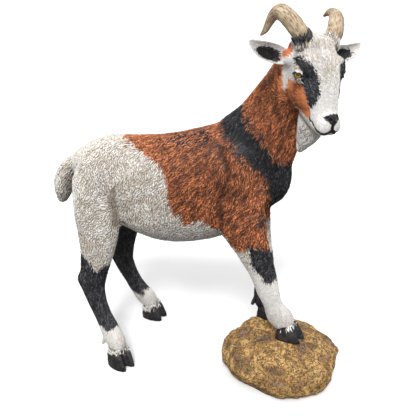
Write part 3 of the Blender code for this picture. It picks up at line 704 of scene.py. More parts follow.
# %% Laying the skin flat
def face_corners(mesh):
    """Where each face's corners start, each corner's point and each corner's face."""
    starts = read(mesh.polygons, "loop_start", 1, np.int32).ravel()
    corner_points = read(mesh.loops, "vertex_index", 1, np.int32).ravel()
    lengths = np.diff(np.append(starts, len(corner_points)))
    return starts, corner_points, np.repeat(np.arange(len(starts)), lengths)


def packed(boxes, scale, gap=0.006):
    """Shelves of boxes in the unit square, or None if they don't fit."""
    spots, left, bottom, shelf = {}, gap, gap, 0
    for number, (wide, high) in sorted(boxes.items(), key=lambda item: -item[1][1]):
        wide, high = wide * scale, high * scale
        if left + wide + gap > 1:
            left, bottom, shelf = gap, bottom + shelf + gap, 0
        if left + wide + gap > 1 or bottom + high + gap > 1:
            return None
        spots[number] = np.array((left, bottom))
        left, shelf = left + wide + gap, max(shelf, high)
    return spots


def flat_map(mesh, points, groups, fineness):
    """A UV for each face corner. Groups number the points' parts, fineness is each group's share."""
    starts, corner_points, face_of = face_corners(mesh)
    ways = read(mesh.polygons, "normal", 3, np.float32) @ HEAD_AXES
    group = groups[corner_points[starts]]
    side = np.abs(ways).argmax(1)
    chart = group * 6 + side * 2 + (ways[np.arange(len(ways)), side] > 0)
    chart_of = chart[face_of]
    local = to_head(points)[corner_points]
    boxes, lows, axes = {}, {}, {}
    for number in np.unique(chart):
        here = local[chart_of == number] * fineness[number // 6]
        pair = [k for k in range(3) if k != (number % 6) // 2]
        lows[number], axes[number] = here[:, pair].min(0), pair
        boxes[number] = here[:, pair].max(0) - lows[number]
    scale = 4.0
    while (spots := packed(boxes, scale)) is None:
        scale *= 0.98
    uv = np.zeros((len(corner_points), 2))
    for number in boxes:
        chosen = chart_of == number
        here = local[chosen][:, axes[number]] * fineness[number // 6] - lows[number]
        uv[chosen] = spots[number] + here * scale
    print("flat map: %d islands, %.2f of the square to a metre" % (len(boxes), scale))
    return uv


# How finely each part in FLESH is mapped: the head, the ears and the eyes get more room.
FINENESS = np.array([1.0, 1.0, 2.0, 1.6, 1.6, 1.0, 1.3, 1.3, 1.3, 1.3, 2.0, 2.0])
skin_uv = flat_map(skin_mesh, points, part, FINENESS)


# %% Storing everything on the skin
def store(mesh, name, values, kind="FLOAT"):
    layer = mesh.attributes.new(name, kind, "POINT")
    layer.data.foreach_set("value" if kind == "FLOAT" else "vector", np.asarray(values, np.float32).ravel())


def store_numbers(mesh, **layers):
    """A number for each point; one number alone goes to them all."""
    for name, values in layers.items():
        store(mesh, name, np.broadcast_to(values, len(mesh.vertices)))


def store_vectors(mesh, **layers):
    for name, values in layers.items():
        store(mesh, name, values, "FLOAT_VECTOR")


def set_map(mesh, uv):
    mesh.uv_layers.new(name="OFBake")
    mesh.uv_layers["OFBake"].data.foreach_set("uv", uv.astype(np.float32).ravel())


def shade_smooth(mesh):
    mesh.polygons.foreach_set("use_smooth", np.ones(len(mesh.polygons), bool))


def stretched_place(points, on_skull, slant=0.0):
    """Where a point is, squeezed along the hair, so that noise read there makes streaks."""
    x, y, z = np.asarray(points).T
    c, s = np.cos(slant), np.sin(slant)
    fallen = np.stack([x, y * c + z * s, 0.28 * (z * c - y * s)], 1)
    return np.where(np.reshape(on_skull, (-1, 1)), to_head(points) * (1, 0.28, 1), fallen)


store_numbers(skin_mesh, rust_edge=rust, black_edge=black, soot=soot, bare=bareness, crease=crease,
              lock_length=lock_length, lock_width=lock_width, lock_rise=lock_rise)
slant = spread(0.65 * on_trunk * (1 - 0.4 * rump) + 0.35 * on_neck, edges, 30)
store_vectors(skin_mesh, flow=flow, skin_normal=normals, streak=stretched_place(points, skull, slant))
set_map(skin_mesh, skin_uv)
shade_smooth(skin_mesh)
skin = piece("skin", skin_mesh)
print("skin:", len(points), "points,", sum(len(p.vertices) - 2 for p in skin_mesh.polygons), "triangles")

# %% [markdown]
# ## Writing paint as nodes
# Every finish here is a small net of nodes. Two short helper classes keep the code readable: each
# method adds one node and gives back its output, so a finish reads like a recipe.

# %% A short way to write nodes
class Net:
    """Adds nodes to a tree. A value that is another node's output becomes a link."""

    def __init__(self, tree):
        self.tree = tree

    def put(self, socket, value):
        if isinstance(value, bpy.types.NodeSocket):
            self.tree.links.new(value, socket)
        else:
            socket.default_value = (*value, 1) if socket.type == "RGBA" else value

    def node(self, kind, settings=(), first=(), **inputs):
        """One node: its settings, its first inputs in order, and its named inputs."""
        made = self.tree.nodes.new(kind)
        for name, value in dict(settings).items():
            setattr(made, name, value)
        for socket, value in zip(made.inputs, first):
            self.put(socket, value)
        for name, value in inputs.items():
            self.put(made.inputs[name.replace("_", " ")], value)
        return made

    def one(self, kind, settings=(), first=(), **inputs):
        """One node's first output."""
        return self.node(kind, settings, first, **inputs).outputs[0]

    def maths(self, operation, a, b, kind="ShaderNodeMath"):
        return self.one(kind, {"operation": operation}, (a, b))

    def plus(self, a, b):
        return self.maths("ADD", a, b)

    def times(self, a, b):
        return self.maths("MULTIPLY", a, b)

    def scaled(self, vector, share):
        return self.one("ShaderNodeVectorMath", {"operation": "SCALE"}, (vector,), Scale=share)


# %% A short way to write a finish
class Paint(Net):
    def __init__(self, name, roughness=0.5, specular=0.5):
        self.material = bpy.data.materials.new(name)
        self.material.use_nodes = True
        super().__init__(self.material.node_tree)
        self.shader = self.tree.nodes["Principled BSDF"]
        self.shader.inputs["Roughness"].default_value = roughness
        self.shader.inputs["Specular IOR Level"].default_value = specular

    def place(self):
        return self.node("ShaderNodeTexCoord").outputs["Object"]

    def stored(self, name, output="Fac"):
        return self.node("ShaderNodeAttribute", {"attribute_name": name}).outputs[output]

    def noise(self, scale, where=None, detail=3.0, roughness=0.55, output="Fac"):
        made = self.node("ShaderNodeTexNoise", Vector=where or self.place(), Scale=scale, Detail=detail,
                         Roughness=roughness)
        return made.outputs[output]

    def most(self, first, *others):
        for value in others:
            first = self.maths("MAXIMUM", first, value)
        return first

    def size(self, value):
        return self.maths("ABSOLUTE", value, 0)

    def step(self, value, low, high, to_low=0.0, to_high=1.0, smooth=True):
        """The value's way from low to high, as a share or between two other numbers."""
        course = {"interpolation_type": "SMOOTHSTEP" if smooth else "LINEAR"}
        return self.one("ShaderNodeMapRange", course, Value=value, From_Min=low, From_Max=high, To_Min=to_low,
                        To_Max=to_high)

    def mix(self, a, b, share):
        made = self.node("ShaderNodeMix", {"data_type": "RGBA"})
        for number, value in ((0, share), (6, a), (7, b)):
            self.put(made.inputs[number], value)
        return made.outputs[2]

    def finish(self, colour, grain, gloss, height, distance, strength):
        """Colour, a gloss that follows a grain between four numbers, and a bump of some height."""
        self.put(self.shader.inputs["Base Color"], colour)
        self.put(self.shader.inputs["Roughness"], self.step(grain, *gloss, smooth=False))
        bump = self.one("ShaderNodeBump", Height=height, Distance=distance, Strength=strength)
        self.put(self.shader.inputs["Normal"], bump)
        return self.material


print("a finish starts from a Paint")

# %% [markdown]
# ## The coat's paint
# Three colours, each with its own wash. White resin gets a thin brown-grey wash that stays in the
# hollows, rust gets a nearly black one, and black gets a bluish dry brush on its crests. The skin
# shows only between the locks, so there it is all wash; where the coat is too short to carve, on
# the muzzle and the shanks, fine streaks take over. Vertex paint alone would be too coarse for
# this, so masks come from the stored distances and the grain from noise.

# %% Mixing the coat's paint
WHITE = {"wash": (0.20, 0.145, 0.095), "crest": (0.93, 0.925, 0.91), "stain": (0.60, 0.53, 0.43)}
RUST = {"wash": (0.010, 0.006, 0.005), "crest": (0.96, 0.325, 0.122), "stain": (0.19, 0.056, 0.026)}
BLACK = {"wash": (0.003, 0.003, 0.004), "crest": (0.190, 0.190, 0.210), "stain": (0.012, 0.011, 0.013)}
BORDER = 0.0012


def coat_paint(name, locks):
    paint = Paint(name, specular=0.42)
    bare, streak = paint.stored("bare"), paint.stored("streak", "Vector")

    def streaks(scale, roughness=0.6, detail=2.0):
        return paint.noise(scale, streak, detail, roughness)

    if locks:
        tone, along = paint.stored("tone"), paint.stored("along")
        lane = paint.one("ShaderNodeCombineXYZ", X=paint.times(paint.stored("lane"), 5.0), Y=paint.times(along, 1.6),
                         Z=paint.times(tone, 60.0))
        hair = paint.noise(1.6, lane, 2.0)
        wander = paint.times(paint.plus(tone, -0.5), 0.009)
        # The lock grows lighter from root to tip: partly wash, and partly painted shade where the lock in front
        # covers its root.
        lit = paint.plus(paint.times(paint.stored("crest"), 0.9), paint.times(along, 0.25))
        lit = paint.plus(lit, paint.times(paint.plus(hair, -0.5), 0.7))
        fine = paint.step(lit, 0.48, 0.95)
        worn = paint.step(paint.noise(26), 0.52, 0.66, 0.0, 0.7)
        lit = paint.most(paint.step(lit, 0.32, 0.76), paint.times(bare, 0.75), worn)
    else:
        tone = paint.noise(300, detail=1.0)
        hair = paint.noise(620, streak)
        wander = paint.times(paint.plus(streaks(240, 0.55), -0.5), 0.010)
        fine = paint.step(hair, 0.52, 0.70)
        lit = paint.times(paint.step(hair, 0.30, 0.62), paint.step(bare, 0.0, 1.0, 0.30, 1.0, smooth=False))
        lit = paint.most(lit, paint.times(bare, 0.70))
    rust_mask = paint.step(paint.plus(paint.stored("rust_edge"), wander), -BORDER, BORDER)
    black_mask = paint.step(paint.plus(paint.stored("black_edge"), wander), -BORDER, BORDER)
    soot = paint.stored("soot")
    sooty = paint.times(paint.step(tone, 0.62, 0.40), soot)
    black_mask = paint.most(black_mask, paint.step(sooty, 0.22, 0.45))

    stained = paint.most(
        paint.step(streaks(48, detail=3.0), 0.52, 0.66, 0.0, 0.6),
        paint.step(tone, 0.50, 0.95, 0.0, 0.7),
        paint.step(streaks(135), 0.50, 0.58, 0.0, 0.85),
        paint.step(paint.noise(9), 0.54, 0.72, 0.0, 0.5),
    )
    stained = paint.times(stained, paint.step(bare, 0.2, 0.9, 1.0, 0.25))

    def shaded(tones, share):
        return paint.mix(tones["wash"], paint.mix(tones["crest"], tones["stain"], stained), share)

    # Painted shade: crests and dry brush turn darker in the folds, the ear cups, under the tail and behind the
    # thighs.
    painted_shade_dim = paint.step(paint.stored("crease"), 0.15, 1.0, 1.0, 0.32, smooth=False)
    lit = paint.times(lit, painted_shade_dim)
    patchy = paint.step(streaks(95), 0.60, 0.47, 0.50, 1.0)
    patchy = paint.times(patchy, paint.step(tone, 0.0, 0.40, 0.60, 1.0))
    warm = paint.most(paint.times(lit, patchy), paint.times(bare, 0.80))
    brushed = paint.times(fine, paint.step(streaks(210), 0.44, 0.60, 0.25, 1.5))
    brushed = paint.times(brushed, paint.times(painted_shade_dim, paint.step(soot, 0.1, 0.8, 1.0, 0.45)))
    colour = paint.mix(shaded(WHITE, lit), shaded(RUST, warm), rust_mask)
    colour = paint.mix(colour, shaded(BLACK, brushed), black_mask)
    return paint.finish(colour, hair, (0.2, 0.8, 0.34, 0.56), hair, 0.0006 if locks else 0.0005, 0.6)


skin_paint = coat_paint("painted_skin", locks=False)
lock_paint = coat_paint("painted_locks", locks=True)
skin.data.materials.append(skin_paint)
print("coat paints:", skin_paint.name, lock_paint.name)

# %% [markdown]
# ## Four shapes of lock
# A carved lock is a low ridge: sunk at its root, highest a third of the way along, and drawn out
# to a tip. Eight points and twelve triangles are enough, because there are tens of thousands of
# them. Four bends keep them from looking stamped.

# %% Modelling the locks
lock_shapes = bpy.data.collections.new("lock_shapes")


def lock_shape(name, bend, fullness):
    # across, along, rise above the skin in shares of the lock's own width, length and rise
    rows = [
        (0.0, -0.04, -0.5), (-0.5, 0.34, -0.35), (0.04, 0.32, 1.0), (0.5, 0.34, -0.35),
        (-0.5 * fullness + bend, 0.70, -0.30), (bend, 0.70, 0.85), (0.5 * fullness + bend, 0.70, -0.30),
        (2.1 * bend, 1.0, 0.15),
    ]
    faces = [(0, 1, 2), (0, 2, 3), (0, 3, 1), (1, 4, 5, 2), (2, 5, 6, 3), (3, 6, 4, 1), (4, 7, 5), (5, 7, 6),
             (6, 7, 4)]
    mesh = bpy.data.meshes.new(name)
    mesh.from_pydata([(a, b, 0) for a, b, _ in rows], [], [face[::-1] for face in faces])
    store_numbers(mesh, rise=[rise for _, _, rise in rows], along=[max(0, b) for _, b, _ in rows],
                  crest=[1.0 if rise > 0.5 else 0.35 if b == 1.0 else 0.0 for _, b, rise in rows],
                  lane=[a for a, _, _ in rows])
    store_vectors(mesh, patch=[(a, b - 0.5, 0) for a, b, _ in rows])
    shade_smooth(mesh)
    lock_shapes.objects.link(bpy.data.objects.new(name, mesh))


for number, (bend, fullness) in enumerate(((0.0, 0.70), (0.26, 0.62), (-0.26, 0.62), (0.10, 0.85))):
    lock_shape("lock_%d" % number, bend, fullness)

# %% [markdown]
# ## Scattering the locks
# Particle hair would be the quick way, but it isn't solid and can't be cast or exported. Geometry
# Nodes scatter points evenly over the skin, stand a lock on each, turn it along the arrow there,
# and then lay every point of it back on the skin, so that long locks follow round curves. The
# tree has named inputs, so one tree serves the flank, the face and the beard.

# %% Building the scattering tree
PATCH_SIZE = 0.003
TREE_INPUTS = (("Geometry", "Geometry"), ("Lock Shapes", "Collection"), ("Where", "String"), ("Spacing", "Float"),
               ("Turn", "Float"), ("Stand", "Float"), ("Seed", "Int"), ("Paint", "Material"))


class Scatter(Net):
    def __init__(self, name):
        super().__init__(bpy.data.node_groups.new(name, "GeometryNodeTree"))
        for socket, kind in TREE_INPUTS:
            self.tree.interface.new_socket(socket, in_out="INPUT", socket_type="NodeSocket" + kind)
        self.tree.interface.new_socket("Geometry", in_out="OUTPUT", socket_type="NodeSocketGeometry")
        self.given = self.node("NodeGroupInput").outputs

    def stored(self, name, kind="FLOAT"):
        return self.one("GeometryNodeInputNamedAttribute", {"data_type": kind}, Name=name)

    def store(self, geometry, name, value, kind="FLOAT", domain="POINT"):
        return self.one("GeometryNodeStoreNamedAttribute", {"data_type": kind, "domain": domain}, Geometry=geometry,
                        Name=name, Value=value)

    def chance(self, low, high, seed, kind="FLOAT"):
        """A number of its own for every lock."""
        made = self.node("FunctionNodeRandomValue", {"data_type": kind}, Seed=self.plus(self.given["Seed"], seed))
        ends = [s for s in made.inputs if s.name in ("Min", "Max") and s.enabled]
        self.put(ends[0], low)
        self.put(ends[1], high)
        return next(s for s in made.outputs if s.enabled)

    def nearest(self, value):
        """The value where the bed's surface is nearest."""
        kind = {"data_type": "FLOAT_VECTOR"}
        return self.one("GeometryNodeSampleNearestSurface", kind, Mesh=self.given["Geometry"], Value=value)


def scattering_tree():
    net = Scatter("scatter_locks")
    given, stored, chance = net.given, net.stored, net.chance
    crowd = net.maths("DIVIDE", 5.0, net.times(given["Spacing"], given["Spacing"]))
    spots = net.one("GeometryNodeDistributePointsOnFaces", {"distribute_method": "POISSON"}, Mesh=given["Geometry"],
                    Distance_Min=given["Spacing"], Density_Max=crowd, Density_Factor=stored(given["Where"]),
                    Seed=given["Seed"])
    spots = net.store(spots, "tone", chance(0.0, 1.0, 4))
    spots = net.store(spots, "root_spot", stored("OFBake", "FLOAT_VECTOR"), "FLOAT_VECTOR")

    normal = stored("skin_normal", "FLOAT_VECTOR")
    arrow = net.one("ShaderNodeVectorRotate", {"rotation_type": "AXIS_ANGLE"}, Vector=stored("flow", "FLOAT_VECTOR"),
                    Axis=normal, Angle=chance(net.times(given["Turn"], -1.0), given["Turn"], 1))
    upright = net.one("FunctionNodeAlignRotationToVector", {"axis": "Z"}, Vector=normal)
    aligned = net.one("FunctionNodeAlignRotationToVector", {"axis": "Y", "pivot_axis": "Z"}, Rotation=upright,
                      Vector=arrow)
    size = net.one("ShaderNodeCombineXYZ", X=net.times(stored("lock_width"), chance(0.60, 1.35, 2)),
                   Y=net.times(stored("lock_length"), chance(0.60, 1.35, 3)), Z=1.0)
    shapes = net.one("GeometryNodeCollectionInfo", Collection=given["Lock Shapes"], Separate_Children=True)
    locks = net.one("GeometryNodeInstanceOnPoints", Points=spots, Instance=shapes, Pick_Instance=True,
                    Instance_Index=chance(0, 3, 5, "INT"), Rotation=aligned, Scale=size)
    locks = net.one("GeometryNodeRealizeInstances", Geometry=locks)

    under = net.nearest(net.one("GeometryNodeInputPosition"))
    lift = net.times(net.times(stored("rise"), stored("lock_rise")), net.plus(0.7, net.times(stored("tone"), 0.6)))
    proud = net.times(net.times(stored("along"), stored("lock_length")), given["Stand"])
    raised = net.scaled(net.nearest(stored("skin_normal", "FLOAT_VECTOR")), net.plus(lift, proud))
    locks = net.one("GeometryNodeSetPosition", Geometry=locks,
                    Position=net.maths("ADD", under, raised, "ShaderNodeVectorMath"))
    patch = net.scaled(stored("patch", "FLOAT_VECTOR"), PATCH_SIZE)
    patch = net.maths("ADD", stored("root_spot", "FLOAT_VECTOR"), patch, "ShaderNodeVectorMath")
    locks = net.store(locks, "OFBake", patch, "FLOAT2", "CORNER")
    locks = net.one("GeometryNodeSetMaterial", Geometry=locks, Material=given["Paint"])
    net.put(net.node("NodeGroupOutput").inputs[0], locks)
    return net.tree


scatter_locks = scattering_tree()
print("scattering tree:", len(scatter_locks.nodes), "nodes")

# %% Growing one piece of coat
KEPT = ("position", "sharp_face", "OFBake", "rust_edge", "black_edge", "soot", "bare", "crease", "streak", "tone",
        "along", "crest", "lane")
LOCK_POINTS, LOCK_TRIANGLES = 8, 12


def grow(name, source, where, spacing, turn, stand, seed):
    """Scatter locks over a source mesh where a stored share says so, as a plain mesh."""
    share = "where_" + name
    store(source, share, where)
    bed = piece(name, source)
    modifier = bed.modifiers.new("locks", "NODES")
    modifier.node_group = scatter_locks
    wanted = {"Lock Shapes": lock_shapes, "Where": share, "Spacing": spacing, "Turn": turn, "Stand": stand,
              "Seed": seed, "Paint": lock_paint}
    for socket in scatter_locks.interface.items_tree:
        if socket.in_out == "INPUT" and socket.name in wanted:
            modifier[socket.identifier] = wanted[socket.name]
    mesh = as_mesh(bed)
    source.name = "bed"
    bpy.data.objects.remove(bed)
    source.attributes.remove(source.attributes[share])
    for layer in [a.name for a in mesh.attributes if a.name not in KEPT and not a.name.startswith(".")]:
        if layer in mesh.attributes and not mesh.attributes[layer].is_required:
            mesh.attributes.remove(mesh.attributes[layer])
    mesh.materials.clear()
    mesh.materials.append(lock_paint)
    made = piece(name, mesh)
    count = len(mesh.vertices) // LOCK_POINTS
    print("%-18s %6d locks, %d triangles" % (name, count, LOCK_TRIANGLES * count))
    return made


# %% Growing the coat
share = np.clip(lock_share * (1 - near_nose * on_head), 0, 1)
upper_leg, lower_leg = on_legs * (above_sole > knee), on_legs * (above_sole <= knee)
COAT_PIECES = [
    # name, where, spacing, turn, stand
    ("coat_shoulders", on_trunk * (y < -0.03), 0.0033, 0.34, 0.02),
    ("coat_right_rump", on_trunk * (y >= -0.03) * (x < 0), 0.0033, 0.38, 0.02),
    ("coat_left_rump", on_trunk * (y >= -0.03) * (x >= 0), 0.0033, 0.38, 0.02),
    ("coat_neck", np.maximum(on_neck, skull * behind_face), 0.0030, 0.30, 0.02),
    ("coat_tail", on_tail * 1.0, 0.0039, 0.35, 0.03),
    ("coat_upper_legs", upper_leg * 1.0, 0.0032, 0.45, 0.01),
    ("coat_front_shanks", lower_leg * on_fore, 0.0025, 0.20, 0.0),
    ("coat_hind_shanks", lower_leg * on_hind, 0.0025, 0.20, 0.0),
    ("coat_head", skull * (1 - behind_face), 0.0025, 0.30, 0.0),
]
coats = [
    grow(name, skin_mesh, share * where, spacing, turn, stand, seed)
    for seed, (name, where, spacing, turn, stand) in enumerate(COAT_PIECES)
]
skin_mesh.name = "skin"

# %% [markdown]
# ## The beard
# The beard hangs from the whole underside of the jaw in long wavy strands that end in one point.
# A core melted from its solid carries the volume, and the same scattering tree lays strands on it,
# three times longer than on the neck, all running down to the tip.

# %% The beard's core and strands
def smooth_mesh(mesh, rounds):
    move_points(mesh, smoothed(points_of(mesh), edges_of(mesh), rounds))


def refined(names, voxel, rounds, closing=0.0):
    """A smooth closed copy of some solids; swelling and shrinking it again closes narrow clefts."""
    mesh = melted(names, voxel, 0.0005 + closing)
    if closing:
        smooth_mesh(mesh, 3)
        move_points(mesh, points_of(mesh) - closing * normals_of(mesh))
    smooth_mesh(mesh, rounds)
    shade_smooth(mesh)
    return mesh


def add_map(mesh):
    own = points_of(mesh)
    set_map(mesh, flat_map(mesh, own, np.zeros(len(own), int), np.ones(1)))


UNPAINTED = -0.02
BEARD_DEPTH = 0.0026
BEARD_TIP = np.array((0.0, 0.204, -0.090))
beard_core = refined(["beard"], 0.0026, 12)
own = points_of(beard_core) - normals_of(beard_core) * BEARD_DEPTH
move_points(beard_core, own)
own_normals = normals_of(beard_core)
own_head = to_head(own)
strand = BEARD_TIP - own_head
strand /= np.linalg.norm(strand, axis=1)[:, None]
wave = noise_at(own, 30, 2.0) * 0.7 + noise_at(own, 75, 4.0) * 0.5
strand = turned(strand @ HEAD_AXES.T, own_normals, wave)
reach = np.clip(0.9 - 4.0 * (own_head[:, 1] - 0.10), 0.45, 1.0)
store_numbers(beard_core, rust_edge=UNPAINTED, black_edge=UNPAINTED, soot=0, crease=0, bare=0.60,
              lock_length=0.036 * reach, lock_width=0.0052 * (0.5 + 0.5 * reach), lock_rise=0.0027 * reach)
store_vectors(beard_core, flow=strand, skin_normal=own_normals, streak=stretched_place(own, True))
add_map(beard_core)
coat_beard = grow("coat_beard", beard_core, np.ones(len(own)), 0.0042, 0.20, 0.03, 20)
beard = piece("beard_core", beard_core)
beard_core.materials.append(skin_paint)

# %% [markdown]
# ## Horns
# A goat's horn is a round sheath with fine wrinkles and grooves that run along it, and a smooth
# worn tip. Its shape follows a rule, a ring carried along a curve while it shrinks, so it is
# lofted from the same stations as its solid, with many more points and the grooves pushed in.
# Each point stores its place round and along the horn, and the streaks are read from that.

# %% Lofting the horns
HORN_RADIUS = 0.0217
HORN_PATHS = {
    # x away from the middle, y, z and share of the horn's radius
    "right": [
        (0.037, -0.066, -0.012, 1.00), (0.040, -0.082, -0.012, 1.00), (0.050, -0.098, -0.013, 1.00),
        (0.061, -0.115, -0.018, 0.99), (0.072, -0.134, -0.030, 0.96), (0.080, -0.147, -0.048, 0.90),
        (0.085, -0.142, -0.068, 0.66), (0.088, -0.126, -0.084, 0.48), (0.091, -0.109, -0.097, 0.35),
        (0.096, -0.099, -0.108, 0.16),
    ],
    "left": [
        (0.040, -0.066, -0.011, 1.00), (0.045, -0.083, -0.010, 1.00), (0.054, -0.100, -0.010, 0.98),
        (0.063, -0.118, -0.017, 0.92), (0.077, -0.132, -0.033, 0.82), (0.088, -0.142, -0.052, 0.70),
        (0.093, -0.149, -0.071, 0.54), (0.097, -0.149, -0.089, 0.36), (0.100, -0.144, -0.108, 0.16),
    ],
}


def curve_through(table, steps):
    """A smooth Catmull-Rom curve through the rows of a table."""
    rows = np.array(table, float)
    rows = np.vstack([2 * rows[0] - rows[1], rows, 2 * rows[-1] - rows[-2]])
    out = []
    for a, b, c, d in zip(rows, rows[1:], rows[2:], rows[3:]):
        for t in np.arange(steps) / steps:
            out.append(b + 0.5 * t * (c - a + t * (2 * a - 5 * b + 4 * c - d + t * (3 * (b - c) + d - a))))
    return np.array(out + [rows[-2]])


def tube(rings):
    """Quads over rings of points, closed by a fan at both ends."""
    count, sides = len(rings), len(rings[0])
    bm = bmesh.new()
    made = [[bm.verts.new(point) for point in ring] for ring in rings]
    ends = [bm.verts.new(np.mean(ring, 0)) for ring in (rings[0], rings[-1])]
    turns = [(j, (j + 1) % sides) for j in range(sides)]
    for near, far in zip(made, made[1:]):
        for j, k in turns:
            bm.faces.new((near[j], near[k], far[k], far[j]))
    for j, k in turns:
        bm.faces.new((ends[0], made[0][k], made[0][j]))
        bm.faces.new((ends[1], made[-1][j], made[-1][k]))
    bmesh.ops.recalc_face_normals(bm, faces=bm.faces)
    return bm


HORN_SIDES, HORN_STEPS = 64, 14
TIP_ANGLES = np.radians([20, 40, 58, 74, 85])


def horn_surface(c, s, far, sign):
    """The wrinkles and grooves at a place round and along the horn, as a share of its radius."""
    seed = Vector((c * 2.2, s * 2.2, far * 16 + sign))
    fine = Vector((c * 5.5, s * 5.5, far * 34 - sign))
    grooves = abs(noise.noise(seed * 1.7)) * 0.9 + abs(noise.noise(fine)) * 0.5
    swell = 0.012 * math.sin(far * 260 + 2.5 * noise.noise(seed)) + 0.03 * noise.noise(seed * 0.6)
    return swell - 0.11 * (0.45 - grooves)


def horn_mesh(side, sign):
    stations = [(sign * a, b, c, HORN_RADIUS * share) for a, b, c, share in HORN_PATHS[side]]
    rows = curve_through(stations, HORN_STEPS)
    spots, radii = rows[:, :3], rows[:, 3]
    end = spots[-1] - spots[-2]
    end /= np.linalg.norm(end)
    for angle in TIP_ANGLES:
        spots = np.vstack([spots, rows[-1, :3] + end * rows[-1, 3] * 0.9 * math.sin(angle)])
        radii = np.append(radii, rows[-1, 3] * math.cos(angle))
    tangents = np.gradient(spots, axis=0)
    tangents /= np.linalg.norm(tangents, axis=1)[:, None]
    walked = np.append(0, np.cumsum(np.linalg.norm(np.diff(spots, axis=0), axis=1)))
    across = np.array((0.0, 0.0, 1.0))
    rings, places = [], []
    for spot, radius, tangent, far in zip(spots, radii, tangents, walked):
        across = across - tangent * (across @ tangent)
        across /= np.linalg.norm(across)
        deep = np.cross(tangent, across)
        worn = np.clip(1.25 - far / walked[-1], 0.15, 1)
        ring = []
        for angle in np.arange(HORN_SIDES) * 2 * math.pi / HORN_SIDES:
            c, s = math.cos(angle), math.sin(angle)
            reach = radius * (1 + worn * horn_surface(c, s, far, sign))
            ring.append(from_head(spot + reach * (across * c + deep * s)))
            places.append((c * 0.02, s * 0.02, far))
        rings.append(ring)
    mesh = from_bmesh(tube(rings), "horn_" + side)
    store_vectors(mesh, horn_place=places + [(0, 0, 0), (0, 0, walked[-1])])
    shade_smooth(mesh)
    return mesh


def horn_paint():
    paint = Paint("painted_horn", specular=0.45)
    place = paint.stored("horn_place", "Vector")
    squeezed = paint.maths("MULTIPLY", place, (1, 1, 0.22), "ShaderNodeVectorMath")
    fibres = paint.noise(330, squeezed, 5.0, 0.62)
    lines = paint.noise(900, squeezed, 3.0, 0.6)
    far = paint.node("ShaderNodeSeparateXYZ", Vector=place).outputs["Z"]
    colour = paint.mix((0.40, 0.28, 0.165), (0.66, 0.54, 0.38), paint.step(paint.noise(60, place), 0.30, 0.70))
    for darker, share in (((0.17, 0.10, 0.045), paint.step(fibres, 0.50, 0.38, 0.0, 0.9)),
                          ((0.11, 0.06, 0.028), paint.step(lines, 0.46, 0.34, 0.0, 0.8)),
                          ((0.34, 0.235, 0.13), paint.step(far, 0.055, 0.0, 0.0, 0.45))):
        colour = paint.mix(colour, darker, share)
    high = paint.plus(paint.times(fibres, 0.7), paint.times(lines, 0.5))
    return paint.finish(colour, fibres, (0.3, 0.7, 0.42, 0.62), high, 0.0016, 0.7)


horn_finish = horn_paint()
horns = {}
for side, sign in SIDES:
    horns[side] = piece("horn_sheath_" + side, horn_mesh(side, sign))
    horns[side].data.materials.append(horn_finish)
print("horn triangles:", 2 * len(horns["right"].data.polygons))

# %% [markdown]
# ## Eyes
# A goat's iris is amber and its pupil is a dark bar that lies level. The real statue has painted
# balls under clear varnish. One ball is enough, because varnish is a gloss and not a second
# shell. Each point stores its direction in the eye's own axes, so the iris stays round and the
# bar lies along the slit whichever way the head turns.

# %% Turning and painting the eyeballs
BALL_SIZE = 0.0140
BALL_SET_BACK = 0.0011


def eyeball(side, sign):
    axes = eye_axes(sign, GAZE_WAY)
    bm = bmesh.new()
    bmesh.ops.create_uvsphere(bm, u_segments=56, v_segments=36, radius=1)
    mesh = from_bmesh(bm, "eyeball_" + side)
    directions = points_of(mesh)
    centre = EYE * (sign, 1, 1) - axes[2] * BALL_SET_BACK
    swell = 1 + 0.03 * ramp(0.75, 1.0, directions[:, 2])
    move_points(mesh, from_head(centre + (directions * swell[:, None] * BALL_SIZE) @ axes))
    store_vectors(mesh, gaze=directions)
    shade_smooth(mesh)
    if np.linalg.det(axes @ HEAD_AXES.T) < 0:
        mesh.flip_normals()
    return piece("eyeball_" + side, mesh)


def eye_paint():
    paint = Paint("painted_eye", roughness=0.12, specular=0.6)
    split = paint.node("ShaderNodeSeparateXYZ", Vector=paint.stored("gaze", "Vector"))
    along, across = split.outputs["X"], split.outputs["Y"]
    reach = paint.maths("POWER", paint.plus(paint.times(along, along), paint.times(across, across)), 0.5)
    angle = paint.maths("ARCTAN2", across, along)
    rays = paint.noise(1.0, paint.one("ShaderNodeCombineXYZ", X=paint.times(angle, 9.0), Y=paint.times(reach, 6.0)))
    iris = paint.mix((0.28, 0.125, 0.015), (0.58, 0.34, 0.055), paint.step(rays, 0.35, 0.68))
    iris = paint.mix(iris, (0.10, 0.045, 0.012), paint.step(reach, 0.47, 0.60))
    bar = paint.times(paint.step(paint.size(along), 0.34, 0.27), paint.step(paint.size(across), 0.125, 0.085))
    colour = paint.mix(iris, (0.006, 0.005, 0.005), bar)
    colour = paint.mix(colour, (0.020, 0.014, 0.011), paint.step(reach, 0.60, 0.68))
    return paint.finish(colour, rays, (0.2, 0.8, 0.08, 0.16), rays, 0.0001, 0.3)


eye_finish = eye_paint()
eyes = {side: eyeball(side, sign) for side, sign in SIDES}
for eye in eyes.values():
    eye.data.materials.append(eye_finish)
print("eyes set behind the lids, each of", len(eyes["right"].data.polygons), "faces")

# %% [markdown]
# ## Hooves and dew claws
# Two claws to a foot, painted black with a satin varnish, with faint growth rings and scuffs. They
# are melted finely from their solids so that the edges are round, as paint and resin leave them.
# The growth rings are half a millimetre deep on the real thing, so they are moved into the mesh
# and not only bumped. The hind dew claws lie in white hair and are painted over with it.

